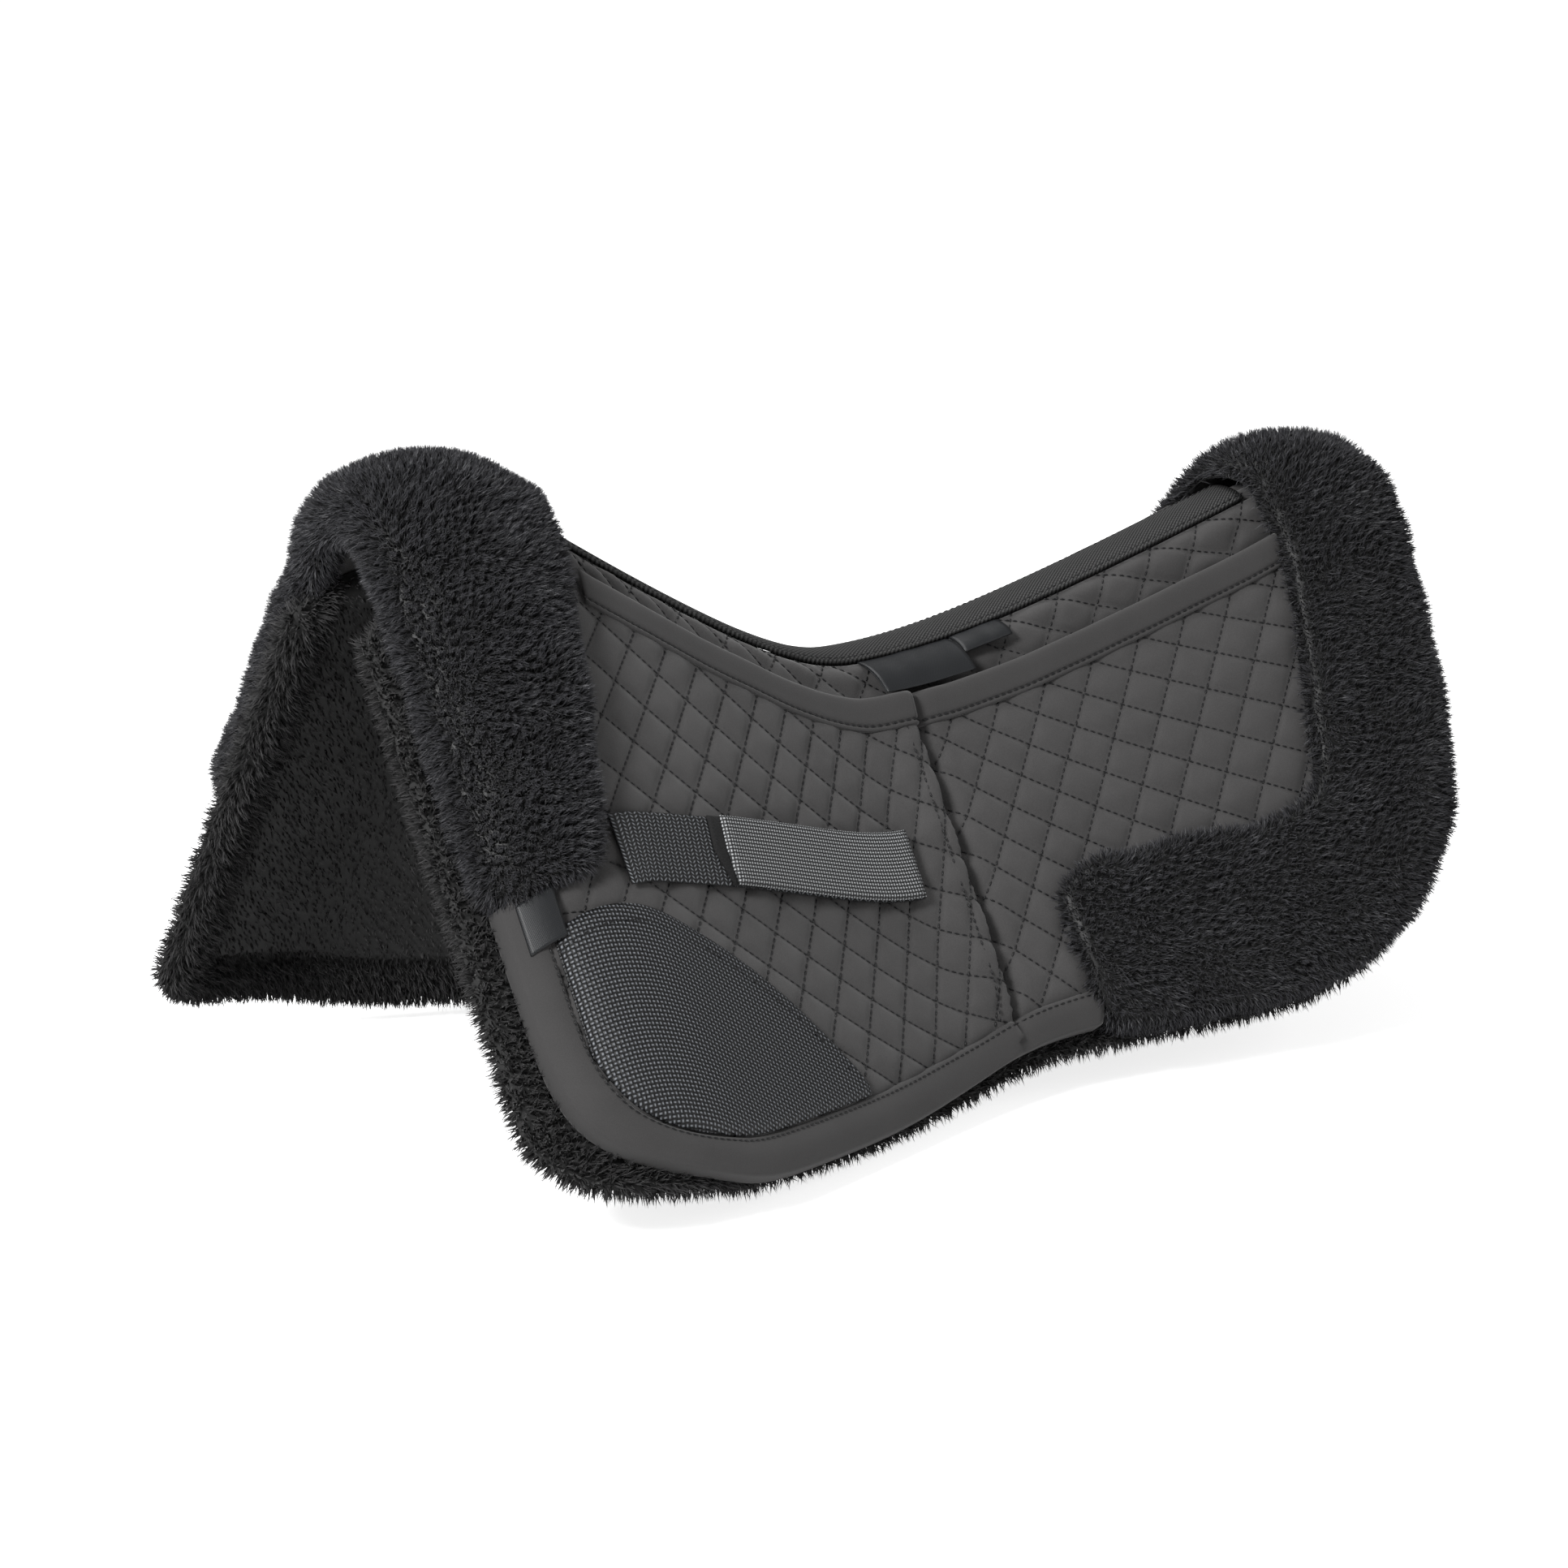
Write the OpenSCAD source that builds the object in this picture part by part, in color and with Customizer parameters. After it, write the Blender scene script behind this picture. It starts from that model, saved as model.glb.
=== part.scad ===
// Saddle half pad: two quilted panels joined along a taped spine, lined with
// fleece, edged with fleece rolls, with shim pockets and girth keeper straps.
// Millimetres. +X points to the rear (cantle), +Z up, the near side is -Y.
// The origin is on the underside of the spine, at its lowest point.

/* [Overall size] */
// From the lowest point of the spine forward to the front edge
front_length = 285; // [250:1:345]
// From the lowest point of the spine back to the rear edge
rear_length = 335; // [280:1:405]
// Depth of the front lobe's corner, along the panel from the spine
front_depth = 417; // [350:1:500]
// Depth of the waist between the lobes, along the panel from the spine
waist_depth = 217; // [180:1:250]
// Depth of the rear lobe's corner, along the panel from the spine
rear_depth = 283; // [240:1:330]

/* [Arch] */
// Angle of each panel from the vertical
panel_lean = 33; // [25:1:45]
// Radius of the arch over the spine
arch_r = 35; // [30:1:45]
// Rise of the spine towards the pommel, per millimetre of length
pommel_rise = 0.65; // [0.4:0.05:0.8]
// Rise of the spine towards the cantle, per millimetre of length
cantle_rise = 0.31; // [0.2:0.01:0.45]
// Roundness of the dip on the pommel side
pommel_round = 36; // [25:1:60]
// Roundness of the dip on the cantle side
cantle_round = 30; // [20:1:60]
// How strongly the spine's front end turns down, per square millimetre
pommel_nose = 0.0067; // [0.004:0.0001:0.008]
// How strongly the spine's rear end turns down, per square millimetre
cantle_nose = 0.006; // [0.003:0.0001:0.008]

/* [Layers] */
// Thickness of the quilted base
quilt_t = 8; // [5:0.5:10]
// Thickness of the fleece lining with its pile
lining_t = 13.7; // [8:0.1:20]
// Thickness of a shim
shim_t = 6; // [3:0.5:10]
// Thickness of a pocket's quilted cover
cover_t = 3.5; // [2:0.5:6]
// Thickness of the fleece rolls over the pockets
roll_t = 14; // [8:1:20]
// Thickness of the fleece over the spine
crown_t = 20; // [12:1:26]
// Clearance between layers that only touch
gap = 0.4; // [0.3:0.05:0.6]
// How far the fleece pile stands out past the edge
pile_reach = 12; // [6:1:16]

/* [Rolls and bindings] */
// Width of the pommel roll at its top
pommel_w = 98; // [80:1:110]
// Width of the pommel roll at its lower end
pommel_end_w = 62; // [50:1:75]
// Depth at which the pommel roll ends, from the spine
pommel_end = 214; // [190:1:240]
// Width of the cantle trim
cantle_w = 82; // [60:1:90]
// Where the cantle trim begins, behind the lowest point of the spine
cantle_start = 62; // [50:1:90]
// Width of the edge binding and the pocket bindings
binding_w = 15; // [10:1:18]
// Thickness of a binding
binding_t = 1.8; // [1:0.1:2.5]

/* [Pockets and shims] */
// Distance of the pocket mouths from the spine, along the arch
mouth_depth = 43; // [40:1:50]
// Where the front and rear pockets meet, behind the lowest point of the spine
seam_x = 13; // [0:1:25]
// Distance of a shim's top edge below the pocket mouth
shim_drop = 32; // [25:1:50]
// Corner radius of a shim
shim_r = 22; // [10:1:30]

/* [Spine webbing, straps and labels] */
// Width of the spine webbing
tape_w = 28; // [20:1:30]
// Thickness of the spine webbing
tape_t = 1.9; // [1:0.1:2.5]
// Width of the girth keeper strap
strap_w = 36; // [25:1:40]
// Thickness of the strap webbing
strap_t = 1.6; // [1:0.1:2]
// Depth of the strap's front end, along the panel from the spine
strap_depth = 200; // [185:1:210]
// How much the strap's depth shrinks per millimetre towards the rear
strap_slant = 0.345; // [0.2:0.005:0.5]
// Length of the strap's folded flap
flap_length = 138; // [100:1:150]
// Where the strap folds, in front of the lowest point of the spine
fold_x = 13; // [10:1:30]
// Length of the hook-and-loop patch on the flap
hook_length = 26; // [15:1:40]
// Length and width of the size label
size_label = [56, 24]; // [20:1:60]
// Length and width of the origin label
origin_label = [30, 14]; // [10:1:40]

/* [Hidden] */

// Colours
FABRIC = "#454344";
FLEECE = "#15151a";
WEBBING = "#2a2a2c";
PATCH = "#202224";
FOAM = "#6d6f72";
LABEL = "#333436";

// Levels above the quilt's outer face, which is level 0
band_t = quilt_t + 0.5;
thread = 0.3; // clearance of pieces sewn flat on each other
shim_lo = gap + 0.1;
shim_hi = shim_lo + shim_t;
cover_lo = shim_hi + gap;
cover_hi = cover_lo + cover_t;
lining_hi = -quilt_t - thread;
lining_lo = lining_hi - lining_t;

// Depths measured along the arch from the spine's centre line
arch_end = arch_r * (90 - panel_lean) * PI / 180;
band_angle = 27;
band_half = arch_r * band_angle * PI / 180;
yoke_top = band_half + gap;
yoke_end = arch_end - 2 * gap;
lining_top = arch_end + 24;
shim_top = mouth_depth + shim_drop;

// Corners of the panel's outline: [x, depth, corner radius]
front_corner_r = 62;
waist_x = 15;
waist_r = 130;
rear_corner_x = rear_length - 50;
rear_corner_r = 100;
rear_top_depth = 55;
rear_top_r = 150;
OUTLINE = [
    [-front_length, arch_end, 0],
    [-front_length, front_depth, front_corner_r],
    [waist_x, waist_depth, waist_r],
    [rear_corner_x, rear_depth, rear_corner_r],
    [rear_length, rear_top_depth, rear_top_r],
    [rear_length, -60, 0]
];
// Spacing of samples along straight lines, and turn between samples on a corner
STEP = 14;
STEP_ANGLE = 12;

// Height of the spine's top face at x
nose_front = 85;
nose_rear = 65;
crown_from = front_length - nose_front;
crown_to = rear_length - nose_rear;
function dip(x, rise, round) = sqrt(round * round + pow(rise * x, 2)) - round;
function spine_z(x) =
    band_t
    + (x < 0 ? dip(x, pommel_rise, pommel_round) : dip(x, cantle_rise, cantle_round))
    - (x < -crown_from ? pow(x + crown_from, 2) * pommel_nose : 0)
    - (x > crown_to ? pow(x - crown_to, 2) * cantle_nose : 0);

// A point of the near side: x, depth u along the arch and panel, level h
function place(x, u, h) =
    u < arch_end
    ? let (a = u / arch_r * 180 / PI)
      [x, -(arch_r + h) * sin(a), spine_z(x) - arch_r + (arch_r + h) * cos(a)]
    : let (t = u - arch_end)
      [x,
       -(arch_r * cos(panel_lean) + t * sin(panel_lean) + h * cos(panel_lean)),
       spine_z(x) - arch_r * (1 - sin(panel_lean)) - t * cos(panel_lean) + h * sin(panel_lean)];

// Headings along the outline and the inward normal of a heading
function heading(i) =
    atan2(OUTLINE[i + 1][1] - OUTLINE[i][1], OUTLINE[i + 1][0] - OUTLINE[i][0]);
function inward(a) = [sin(a), -cos(a)];
function turn(i) = heading(i) - heading(i - 1);
function cut(i) =
    i == 0 || i == len(OUTLINE) - 1 ? 0 : OUTLINE[i][2] * tan(abs(turn(i)) / 2);
function corner(i) = [OUTLINE[i][0], OUTLINE[i][1]];
function along(a) = [cos(a), sin(a)];

// Samples of the outline: [x, depth, inward normal x, inward normal depth]
function line_samples(i) =
    let (a = heading(i),
         from = corner(i) + cut(i) * along(a),
         to = corner(i + 1) - cut(i + 1) * along(a),
         n = max(1, ceil(norm(to - from) / STEP)))
    [for (k = [1 : n - 1]) let (p = from + (to - from) * k / n) [p[0], p[1], inward(a)[0], inward(a)[1]]];
function arc_samples(i) =
    let (a0 = heading(i - 1),
         side = turn(i) < 0 ? 1 : -1,
         r = OUTLINE[i][2],
         start = corner(i) - cut(i) * along(a0),
         centre = start + side * r * inward(a0),
         n = max(2, ceil(abs(turn(i)) / STEP_ANGLE)))
    [for (k = [0 : n])
        let (m = inward(a0 + turn(i) * k / n), p = centre - side * r * m)
        [p[0], p[1], m[0], m[1]]];
FRONT_EDGE = line_samples(0);
HEM = [
    each arc_samples(1), each line_samples(1),
    each arc_samples(2), each line_samples(2),
    each arc_samples(3), each line_samples(3),
    each arc_samples(4)
];
function inset(s, e) = [s[0] + s[2] * e, s[1] + s[3] * e];
function inset_hem(e) = [for (s = HEM) inset(s, e)];
// Depth of the outline, moved inward by e, at x
function hem_depth(x, e = 0) = lookup(x, inset_hem(e));

// Level of a pocket cover's outer face: full over the shim, low at its seams
slope_w = 34;
front_seam_w = 5;
rear_seam_w = 12;
// Share of the full level that the covers keep at the seam between the pockets
seam_level = 0.15;
HEM_0 = inset_hem(0);
function seam_share(x) = x < seam_x ? (seam_x - x) / front_seam_w : (x - seam_x) / rear_seam_w;
function fill(x, u) =
    max(0, min(1,
        (lookup(x, HEM_0) - u) / slope_w,
        (x + front_length) / slope_w,
        (rear_length - x) / slope_w,
        seam_share(x) + seam_level));
function cover_level(x, u) = gap + cover_t + (cover_hi - gap - cover_t) * fill(x, u);

// A closed sheet between two grids of points with the same rows and columns
module thick_sheet(outer, inner) {
    rows = len(outer);
    cols = len(outer[0]);
    n = rows * cols;
    points = [for (r = outer) each r, for (r = inner) each r];
    function id(i, j) = i * cols + j;
    function quad(a, b, c, d) = [[a, b, c], [a, c, d]];
    faces = [
        for (i = [0 : rows - 2], j = [0 : cols - 2])
            each quad(id(i, j), id(i + 1, j), id(i + 1, j + 1), id(i, j + 1)),
        for (i = [0 : rows - 2], j = [0 : cols - 2])
            each quad(n + id(i, j), n + id(i, j + 1), n + id(i + 1, j + 1), n + id(i + 1, j)),
        for (i = [0 : rows - 2])
            each quad(id(i, 0), n + id(i, 0), n + id(i + 1, 0), id(i + 1, 0)),
        for (i = [0 : rows - 2])
            each quad(id(i, cols - 1), id(i + 1, cols - 1), n + id(i + 1, cols - 1), n + id(i, cols - 1)),
        for (j = [0 : cols - 2])
            each quad(id(0, j), id(0, j + 1), n + id(0, j + 1), n + id(0, j)),
        for (j = [0 : cols - 2])
            each quad(id(rows - 1, j), n + id(rows - 1, j), n + id(rows - 1, j + 1), id(rows - 1, j + 1))
    ];
    polyhedron(points, faces);
}

// A flat-faced layer over columns [x, top depth, bottom depth]
module layer(columns, low, high, parts = 1) {
    function depths(c) = [for (k = [0 : parts]) c[1] + (c[2] - c[1]) * k / parts];
    thick_sheet(
        [for (c = columns) [for (u = depths(c)) place(c[0], u, high)]],
        [for (c = columns) [for (u = depths(c)) place(c[0], u, low)]]);
}

// A layer that follows the pocket covers' level, over rows of [x, depths]
module cover_layer(rows, low, high) {
    thick_sheet(
        [for (r = rows) [for (u = r[1]) place(r[0], u, cover_level(r[0], u) + high)]],
        [for (r = rows) [for (u = r[1]) place(r[0], u, cover_level(r[0], u) + low)]]);
}

// Columns of a panel sheet from depth top to the outline moved inward by e
function panel_columns(top, e) =
    [for (p = inset_hem(e)) if (p[1] > top + 4) [p[0], top, p[1]]];
// Evenly spaced values from a to b
function spread(a, b, n) = [for (k = [0 : n]) a + (b - a) * k / n];
LENGTHWISE = [
    -front_length,
    for (x = spread(-front_length + STEP, rear_length - STEP, 44)) x,
    rear_length
];
function within(x0, x1) = [x0, for (x = LENGTHWISE) if (x > x0 + 2 && x < x1 - 2) x, x1];

// ---- spine ----

// A layer over the arch between two depths, both sides when from = -to
module arch_layer(xs, from, to, low, high, parts) {
    us = spread(from, to, parts);
    thick_sheet(
        [for (x = xs) [for (u = us) place_both(x, u, high)]],
        [for (x = xs) [for (u = us) place_both(x, u, low)]]);
}
function place_both(x, u, h) =
    let (p = place(x, abs(u), h)) [p[0], u < 0 ? -p[1] : p[1], p[2]];

tape_front = -front_length + pommel_w + 2;
tape_rear = rear_length - cantle_w - 2;
tape_lo = thread;

module spine_band() {
    color(FABRIC) arch_layer(LENGTHWISE, -band_half, band_half, -band_t, 0, 6);
}

module spine_tape() {
    color(WEBBING)
        arch_layer(within(tape_front, tape_rear), -tape_w / 2, tape_w / 2, tape_lo, tape_lo + tape_t, 6);
}

// Fleece over the arch, rounded down at its front and rear ends
crown_edge = 0.12;
function crown_top(x, x0, x1, thick) =
    thick * sqrt(max(crown_edge, 1 - pow(abs(2 * x - x0 - x1) / (x1 - x0), 4)));
module arch_fleece(x0, x1, from, to, thick, parts) {
    xs = spread(x0, x1, 10);
    us = spread(from, to, parts);
    thick_sheet(
        [for (x = xs) [for (u = us) place_both(x, u, gap + crown_top(x, x0, x1, thick))]],
        [for (x = xs) [for (u = us) place_both(x, u, gap)]]);
}
pommel_x = [-front_length - pile_reach, -front_length + pommel_w];
cantle_x = [rear_length - cantle_w, rear_length + pile_reach];

module pommel_crown() {
    color(FLEECE) arch_fleece(pommel_x[0], pommel_x[1], -band_half, band_half, crown_t, 6);
}

module cantle_crown() {
    color(FLEECE) arch_fleece(cantle_x[0], cantle_x[1], -band_half, band_half, crown_t, 6);
}

// A label that stands off the near edge of the spine webbing
label_lift = 0.45;
label_t = 1;
label_x = 2;
module label(x0, length, width) {
    xs = spread(x0, x0 + length, 3);
    us = spread(tape_w / 2 + 2 * thread, tape_w / 2 + width, 4);
    function level(u) = gap + 0.1 + (u - tape_w / 2) * label_lift;
    color(LABEL)
        thick_sheet(
            [for (x = xs) [for (u = us) place(x, u, level(u) + label_t)]],
            [for (x = xs) [for (u = us) place(x, u, level(u))]]);
}

module size_label_loop() {
    label(label_x, size_label[0], size_label[1]);
}

module origin_label_tab() {
    label(label_x + size_label[0] + 2, origin_label[0], origin_label[1]);
}

// ---- parts that both sides have, drawn on the near side ----

// The flexible quilted strip between the spine band and a panel
module yoke() {
    color(FABRIC) arch_layer(LENGTHWISE, yoke_top, yoke_end, -band_t, 0, 3);
}

module pommel_yoke() {
    color(FLEECE) arch_fleece(pommel_x[0], pommel_x[1], yoke_top, yoke_end, crown_t, 3);
}

module cantle_yoke() {
    color(FLEECE) arch_fleece(cantle_x[0], cantle_x[1], yoke_top, yoke_end, crown_t, 3);
}

module quilt() {
    color(FABRIC) layer(panel_columns(arch_end, 0), -quilt_t, 0);
}

module lining() {
    color(FLEECE) layer(panel_columns(lining_top, -pile_reach), lining_lo, lining_hi);
}

// A pocket cover: its mouth is open, its other edges come down to the quilt
pocket_edge = 2;
pocket_rear = 12;
seam_gap = 0.5;
function pocket_row(x) =
    let (edge = hem_depth(x, pocket_edge), bend = max(mouth_depth + 2, lookup(x, HEM_0) - slope_w))
    [x, [
        each spread(mouth_depth, bend, 3),
        bend + (edge - bend) / 2,
        edge
    ]];
BENDS = [-front_length + slope_w, -front_length + slope_w / 2,
    seam_x - (1 - seam_level) * front_seam_w, seam_x + (1 - seam_level) * rear_seam_w,
    rear_length - slope_w, rear_length - slope_w / 2];
function near_bend(x) = min([for (b = BENDS) abs(b - x)]) < 3;
// The x values of a pocket's rows: the outline's samples and the cover's bends
function pocket_xs(x0, x1) = sorted([
    x0,
    for (p = inset_hem(pocket_edge)) if (p[0] > x0 + 2 && p[0] < x1 - 2 && !near_bend(p[0])) p[0],
    for (b = BENDS) if (b > x0 + 1 && b < x1 - 1) b,
    x1
]);
module pocket(x0, x1) {
    cover_layer([for (x = pocket_xs(x0, x1)) pocket_row(x)], -cover_t, 0);
}
function sorted(v) =
    len(v) < 2 ? v
    : let (p = v[0])
      [each sorted([for (k = v) if (k < p) k]), p, each sorted([for (k = v) if (k > p) k])];

module front_pocket() {
    color(FABRIC) pocket(-front_length + pocket_edge, seam_x - seam_gap);
}

module rear_pocket() {
    color(FABRIC) pocket(seam_x + seam_gap, rear_length - pocket_rear);
}

// Binding folded over a pocket mouth
module mouth_binding(xs) {
    lip = mouth_depth - binding_t;
    foot = mouth_depth + binding_w;
    function over(x, u, k) = place(x, u, cover_level(x, max(u, mouth_depth)) + k);
    color(FABRIC)
        thick_sheet(
            [for (x = xs)
                [over(x, lip - gap / 2, -cover_t), over(x, lip, binding_t), over(x, foot, binding_t)]],
            [for (x = xs) [
                over(x, mouth_depth - thread, -cover_t),
                over(x, mouth_depth - gap / 2, thread),
                over(x, foot, thread)]]);
}

module front_pocket_binding() {
    start = tape_front + 2;
    rest = [for (x = pocket_xs(-front_length, seam_x - seam_gap)) if (x > start + 2) x];
    mouth_binding([start, each rest]);
}

module rear_pocket_binding() {
    end = tape_rear - 2;
    rest = [for (x = pocket_xs(seam_x + seam_gap, rear_length)) if (x < end - 2) x];
    mouth_binding([each rest, end]);
}

// Binding folded over the panel's edge, from the pommel roll to the cantle trim
binding_bend = 5;
binding_lap = 2.5;
module edge_binding() {
    stations = [
        for (s = FRONT_EDGE) if (s[1] > pommel_end + 2) s,
        for (s = HEM) if (s[0] < cantle_start - 2) s
    ];
    inner = thread + gap;
    outer = binding_t + gap;
    function over(s, e, k) = let (p = inset(s, e)) place(p[0], p[1], cover_level(p[0], p[1]) + k);
    function at(s, e, h) = let (p = inset(s, e)) place(p[0], p[1], h);
    color(FABRIC)
        thick_sheet(
            [for (s = stations) [
                over(s, binding_w, outer),
                over(s, binding_bend, outer),
                at(s, -binding_lap, cover_t + outer - 1),
                at(s, -binding_lap, -quilt_t)]],
            [for (s = stations) [
                over(s, binding_w, inner),
                over(s, binding_bend, inner),
                at(s, -seam_gap, cover_t + inner),
                at(s, -seam_gap, -quilt_t)]]);
}

// Fleece roll along an edge. A station is [x, depth, normal x, normal depth, width]
function roll_profile(w) = [
    // [distance inward from the edge, share of the roll's height]
    [w, 0.35], [w - 5, 0.8], [max(slope_w + 2, w * 0.6), 1],
    [slope_w, 1], [slope_w / 2, 1], [6, 0.92]
];
// Clearance under a roll, which follows the covers a little less closely
roll_gap = 3 * gap;
roll_shoulder = 0.4;
module fleece_roll(stations) {
    function over(s, e, k) =
        let (p = inset(s, e)) place(p[0], p[1], cover_level(p[0], p[1]) + k);
    function at(s, e, h) = let (p = inset(s, e)) place(p[0], p[1], h);
    thick_sheet(
        [for (s = stations) [
            for (q = roll_profile(s[4])) over(s, q[0], q[1] * roll_t),
            at(s, -pile_reach * 0.7, cover_t + roll_t * roll_shoulder),
            at(s, -pile_reach, 0),
            at(s, -pile_reach, -quilt_t)]],
        [for (s = stations) [
            for (q = roll_profile(s[4])) over(s, q[0], roll_gap),
            at(s, -seam_gap - 0.1, roll_gap + cover_t + gap),
            at(s, -2 * gap, 0),
            at(s, -2 * gap, -quilt_t)]]);
}

module pommel_roll() {
    function width(u) =
        pommel_w + (pommel_end_w - pommel_w) * (u - arch_end) / (pommel_end - arch_end);
    stations = [
        for (u = spread(arch_end, pommel_end - 22, 10)) [-front_length, u, 1, 0, width(u)],
        [-front_length, pommel_end - 10, 1, 0, pommel_end_w - 4],
        [-front_length, pommel_end - 3, 1, 0, pommel_end_w - 14],
        [-front_length, pommel_end, 1, 0, pommel_end_w - 28]
    ];
    color(FLEECE) fleece_roll(stations);
}

module cantle_trim() {
    stations = [
        let (u = hem_depth(cantle_start)) [cantle_start, u, 0, -1, cantle_w - 8],
        for (s = HEM)
            if (s[0] > cantle_start + 3 && s[1] > arch_end + 4)
                [s[0], s[1], s[2], s[3], cantle_w],
        [rear_length, arch_end, -1, 0, cantle_w]
    ];
    color(FLEECE) fleece_roll(stations);
}

// Hard-wearing patch on the front lobe, inside the edge binding
patch_x = [-front_length + binding_w + 1, -100];
patch_crown = 226;
patch_lo = 2 * gap + 0.2;
patch_t = 1.2;
module wear_patch() {
    function top(x) =
        let (v = (x - patch_x[0]) / (patch_x[1] - patch_x[0]))
        patch_crown + 12 * pow(1 - v, 4) + 44 * pow(v, 4);
    function depths(x) =
        let (bend = lookup(x, HEM_0) - slope_w, to = hem_depth(x, binding_w + 1))
        bend > top(x) + 2 && bend < to - 2
            ? [each spread(top(x), bend, 3), each spread(bend + (to - bend) / 2, to, 1)]
            : spread(top(x), to, 5);
    xs = [patch_x[0], for (x = pocket_xs(-front_length, patch_x[1])) if (x > patch_x[0] + 2) x];
    color(PATCH)
        cover_layer([for (x = xs) if (hem_depth(x, binding_w + 1) > top(x) + 3) [x, depths(x)]],
            patch_lo, patch_lo + patch_t);
}

// ---- girth keeper strap ----

// The strap's centre line: its depth shrinks evenly towards the rear
strap_start = -front_length + pommel_end_w + 8;
function strap_u(x) = strap_depth - strap_slant * (x - strap_start);
// Half of the strap's width, square to its centre line, as a step along x and depth
function strap_half(x) =
    let (rise = (spine_z(x + 1) - spine_z(x - 1)) / 2,
         c = cos(panel_lean),
         a = (rise * c + strap_slant) / (1 + rise * rise + rise * strap_slant * c),
         w = [a, -sin(panel_lean), a * rise - c])
    strap_w / 2 / norm(w) * [a, 1];
module strap_layer(xs, low, high) {
    function edge(x, side) = [x, strap_u(x)] + side * strap_half(x);
    function level(x) = cover_level(x, strap_u(x));
    thick_sheet(
        [for (x = xs) [for (k = [-1, 0, 1]) place(edge(x, k)[0], edge(x, k)[1], level(x) + high)]],
        [for (x = xs) [for (k = [-1, 0, 1]) place(edge(x, k)[0], edge(x, k)[1], level(x) + low)]]);
}
hook_t = 2.2;
base_hi = gap + strap_t;
hook_lo = base_hi + thread;
hook_hi = hook_lo + hook_t;
flap_lo = hook_hi + 0.05;
flap_hi = flap_lo + strap_t;
flap_x = [-fold_x - flap_length, -fold_x];

module strap_base() {
    color(WEBBING) strap_layer(spread(strap_start, -fold_x - 4, 14), gap, base_hi);
}

module strap_flap() {
    color(WEBBING) strap_layer(spread(flap_x[0], flap_x[1], 12), flap_lo, flap_hi);
}

module strap_hook() {
    color(LABEL) strap_layer(spread(flap_x[0], flap_x[0] + hook_length, 3), hook_lo, hook_hi);
}

// A blank tab sewn over the edge binding, below the pommel roll
tab_size = [18, 24];
tab_t = 0.8;
module side_tab() {
    tab_x = -front_length + 3;
    tab_lo = binding_t + gap + 2 * thread;
    rows = [
        for (x = spread(tab_x, tab_x + tab_size[0], 3))
            [x, spread(pommel_end + 3, pommel_end + 3 + tab_size[1], 3)]
    ];
    color(LABEL) cover_layer(rows, tab_lo, tab_lo + tab_t);
}

// ---- shims ----

// A foam sheet with round corners, from the shim top to the outline less the hem
shim_hem = slope_w + 6;
module shim(x0, x1) {
    function corner_cut(x) =
        let (d = min(x - x0, x1 - x))
        d >= shim_r ? 0 : shim_r - sqrt(max(0, pow(shim_r, 2) - pow(shim_r - d, 2)));
    xs = [
        for (a = [0 : 15 : 75]) x0 + gap / 2 + shim_r * (1 - cos(a)),
        for (x = spread(x0 + shim_r, x1 - shim_r, 10)) x,
        for (a = [75 : -15 : 0]) x1 - gap / 2 - shim_r * (1 - cos(a))
    ];
    columns = [for (x = xs) [x, shim_top + corner_cut(x), hem_depth(x, shim_hem) - corner_cut(x)]];
    color(FOAM) layer(columns, shim_lo, shim_hi);
}

module front_shim() {
    shim(tape_front + 5, seam_x - front_seam_w - 12);
}

module rear_shim() {
    shim(seam_x + rear_seam_w, tape_rear - 11);
}

spine_band();
spine_tape();
pommel_crown();
cantle_crown();
size_label_loop();
origin_label_tab();
yoke();  // near_yoke
pommel_yoke();  // near_pommel_yoke
cantle_yoke();  // near_cantle_yoke
quilt();  // near_quilt
lining();  // near_lining
front_pocket();  // near_front_pocket
rear_pocket();  // near_rear_pocket
front_pocket_binding();  // near_front_pocket_binding
rear_pocket_binding();  // near_rear_pocket_binding
edge_binding();  // near_edge_binding
wear_patch();  // near_wear_patch
pommel_roll();  // near_pommel_roll
cantle_trim();  // near_cantle_trim
strap_base();  // near_strap_base
side_tab();  // near_side_tab
strap_flap();  // near_strap_flap
strap_hook();  // near_strap_hook
front_shim();  // near_front_shim
rear_shim();  // near_rear_shim
mirror([0, 1, 0]) yoke();  // off_yoke
mirror([0, 1, 0]) pommel_yoke();  // off_pommel_yoke
mirror([0, 1, 0]) cantle_yoke();  // off_cantle_yoke
mirror([0, 1, 0]) quilt();  // off_quilt
mirror([0, 1, 0]) lining();  // off_lining
mirror([0, 1, 0]) front_pocket();  // off_front_pocket
mirror([0, 1, 0]) rear_pocket();  // off_rear_pocket
mirror([0, 1, 0]) front_pocket_binding();  // off_front_pocket_binding
mirror([0, 1, 0]) rear_pocket_binding();  // off_rear_pocket_binding
mirror([0, 1, 0]) edge_binding();  // off_edge_binding
mirror([0, 1, 0]) wear_patch();  // off_wear_patch
mirror([0, 1, 0]) pommel_roll();  // off_pommel_roll
mirror([0, 1, 0]) cantle_trim();  // off_cantle_trim
mirror([0, 1, 0]) strap_base();  // off_strap_base
mirror([0, 1, 0]) side_tab();  // off_side_tab
mirror([0, 1, 0]) strap_flap();  // off_strap_flap
mirror([0, 1, 0]) strap_hook();  // off_strap_hook
mirror([0, 1, 0]) front_shim();  // off_front_shim
mirror([0, 1, 0]) rear_shim();  // off_rear_shim
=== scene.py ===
"""Looks of a fleece-lined saddle half pad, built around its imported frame.

Every piece is laid on one curved form, the pad's own arch and panels, in metres.
+X points to the cantle, +Z up, and the near side is -Y. The off side mirrors the near.
"""
import logging
import math
from collections.abc import Callable, Sequence
from dataclasses import dataclass, field
from enum import Enum
from functools import cache

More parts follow.
